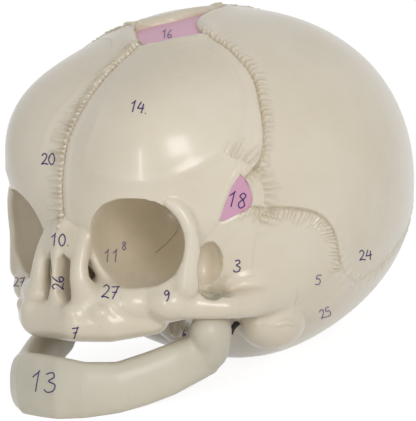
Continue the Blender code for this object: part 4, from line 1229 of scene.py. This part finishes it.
# %% World and floor
def only_seen(nodes, links):
    """One for what the camera sees, directly, mirrored or through glass; else zero."""
    path = nodes.new("ShaderNodeLightPath")
    total = path.outputs["Is Camera Ray"]
    for other in ("Is Glossy Ray", "Is Transmission Ray"):
        most = nodes.new("ShaderNodeMath")
        most.operation = "MAXIMUM"
        links.new(total, most.inputs[0])
        links.new(path.outputs[other], most.inputs[1])
        total = most.outputs[0]
    return total


def shown_apart(tree, lighting, seen, output):
    """Gives the light one shader, and the camera another."""
    mix = tree.nodes.new("ShaderNodeMixShader")
    tree.links.new(only_seen(tree.nodes, tree.links), mix.inputs["Fac"])
    tree.links.new(lighting.outputs[0], mix.inputs[1])
    tree.links.new(seen.outputs[0], mix.inputs[2])
    tree.links.new(mix.outputs[0], tree.nodes[output].inputs["Surface"])


FILL, PAPER_GLOW, PAPER_SIZE = 0.47, 0.88, 1.5
world = bpy.data.worlds.new("studio")
bpy.context.scene.world = world
world.use_nodes = True
fill, seen = world.node_tree.nodes["Background"], world.node_tree.nodes.new("ShaderNodeBackground")
fill.inputs["Color"].default_value = (0.96, 0.98, 1.0, 1)
fill.inputs["Strength"].default_value = FILL
seen.inputs["Color"].default_value = (1, 1, 1, 1)
seen.inputs["Strength"].default_value = 1
shown_apart(world.node_tree, fill, seen, "World Output")

bm = bmesh.new()
bmesh.ops.create_grid(bm, x_segments=1, y_segments=1, size=PAPER_SIZE)
floor = new_object("floor", bm)
paper = bpy.data.materials.new("white_paper")
paper.use_nodes = True
nodes, links = paper.node_tree.nodes, paper.node_tree.links
lit = nodes["Principled BSDF"]
lit.inputs["Base Color"].default_value = (0.8, 0.8, 0.8, 1)
lit.inputs["Roughness"].default_value = 0.9
shown = nodes.new("ShaderNodeBsdfDiffuse")
shown.inputs["Color"].default_value = (0.3, 0.3, 0.3, 1)
glow, both = nodes.new("ShaderNodeEmission"), nodes.new("ShaderNodeAddShader")
glow.inputs["Strength"].default_value = PAPER_GLOW
links.new(shown.outputs[0], both.inputs[0])
links.new(glow.outputs[0], both.inputs[1])
shown_apart(paper.node_tree, lit, both, "Material Output")
floor.data.materials.append(paper)

# %% Softboxes
def gleam(name, px, py, wide, tall, power, away=0.7):
    """An area light that the camera sees mirrored at a pixel."""
    _, spot, normal, _, way = struck(bpy.context.evaluated_depsgraph_get(), px, py)
    out = way.reflect(normal)
    light = bpy.data.objects.new(name, bpy.data.lights.new(name, "AREA"))
    light.data.shape = "RECTANGLE"
    light.data.size, light.data.size_y, light.data.energy = wide, tall, power
    light.matrix_world = Matrix.Translation(spot + out * away) @ (-out).to_track_quat("-Z", "Y").to_matrix().to_4x4()
    bpy.context.scene.collection.objects.link(light)
    print(name, "hangs at", [round(value, 2) for value in light.location])


gleam("wide_softbox", 178, 145, 0.26, 0.26, 1.6)
gleam("strip_softbox", 141, 160, 0.04, 0.30, 0.5)

bpy.context.scene.view_settings.view_transform = "Standard"

# %% [markdown]
# ## Finish
# Last, the view layer is brought up to date.

# %% Finish
bpy.context.view_layer.update()
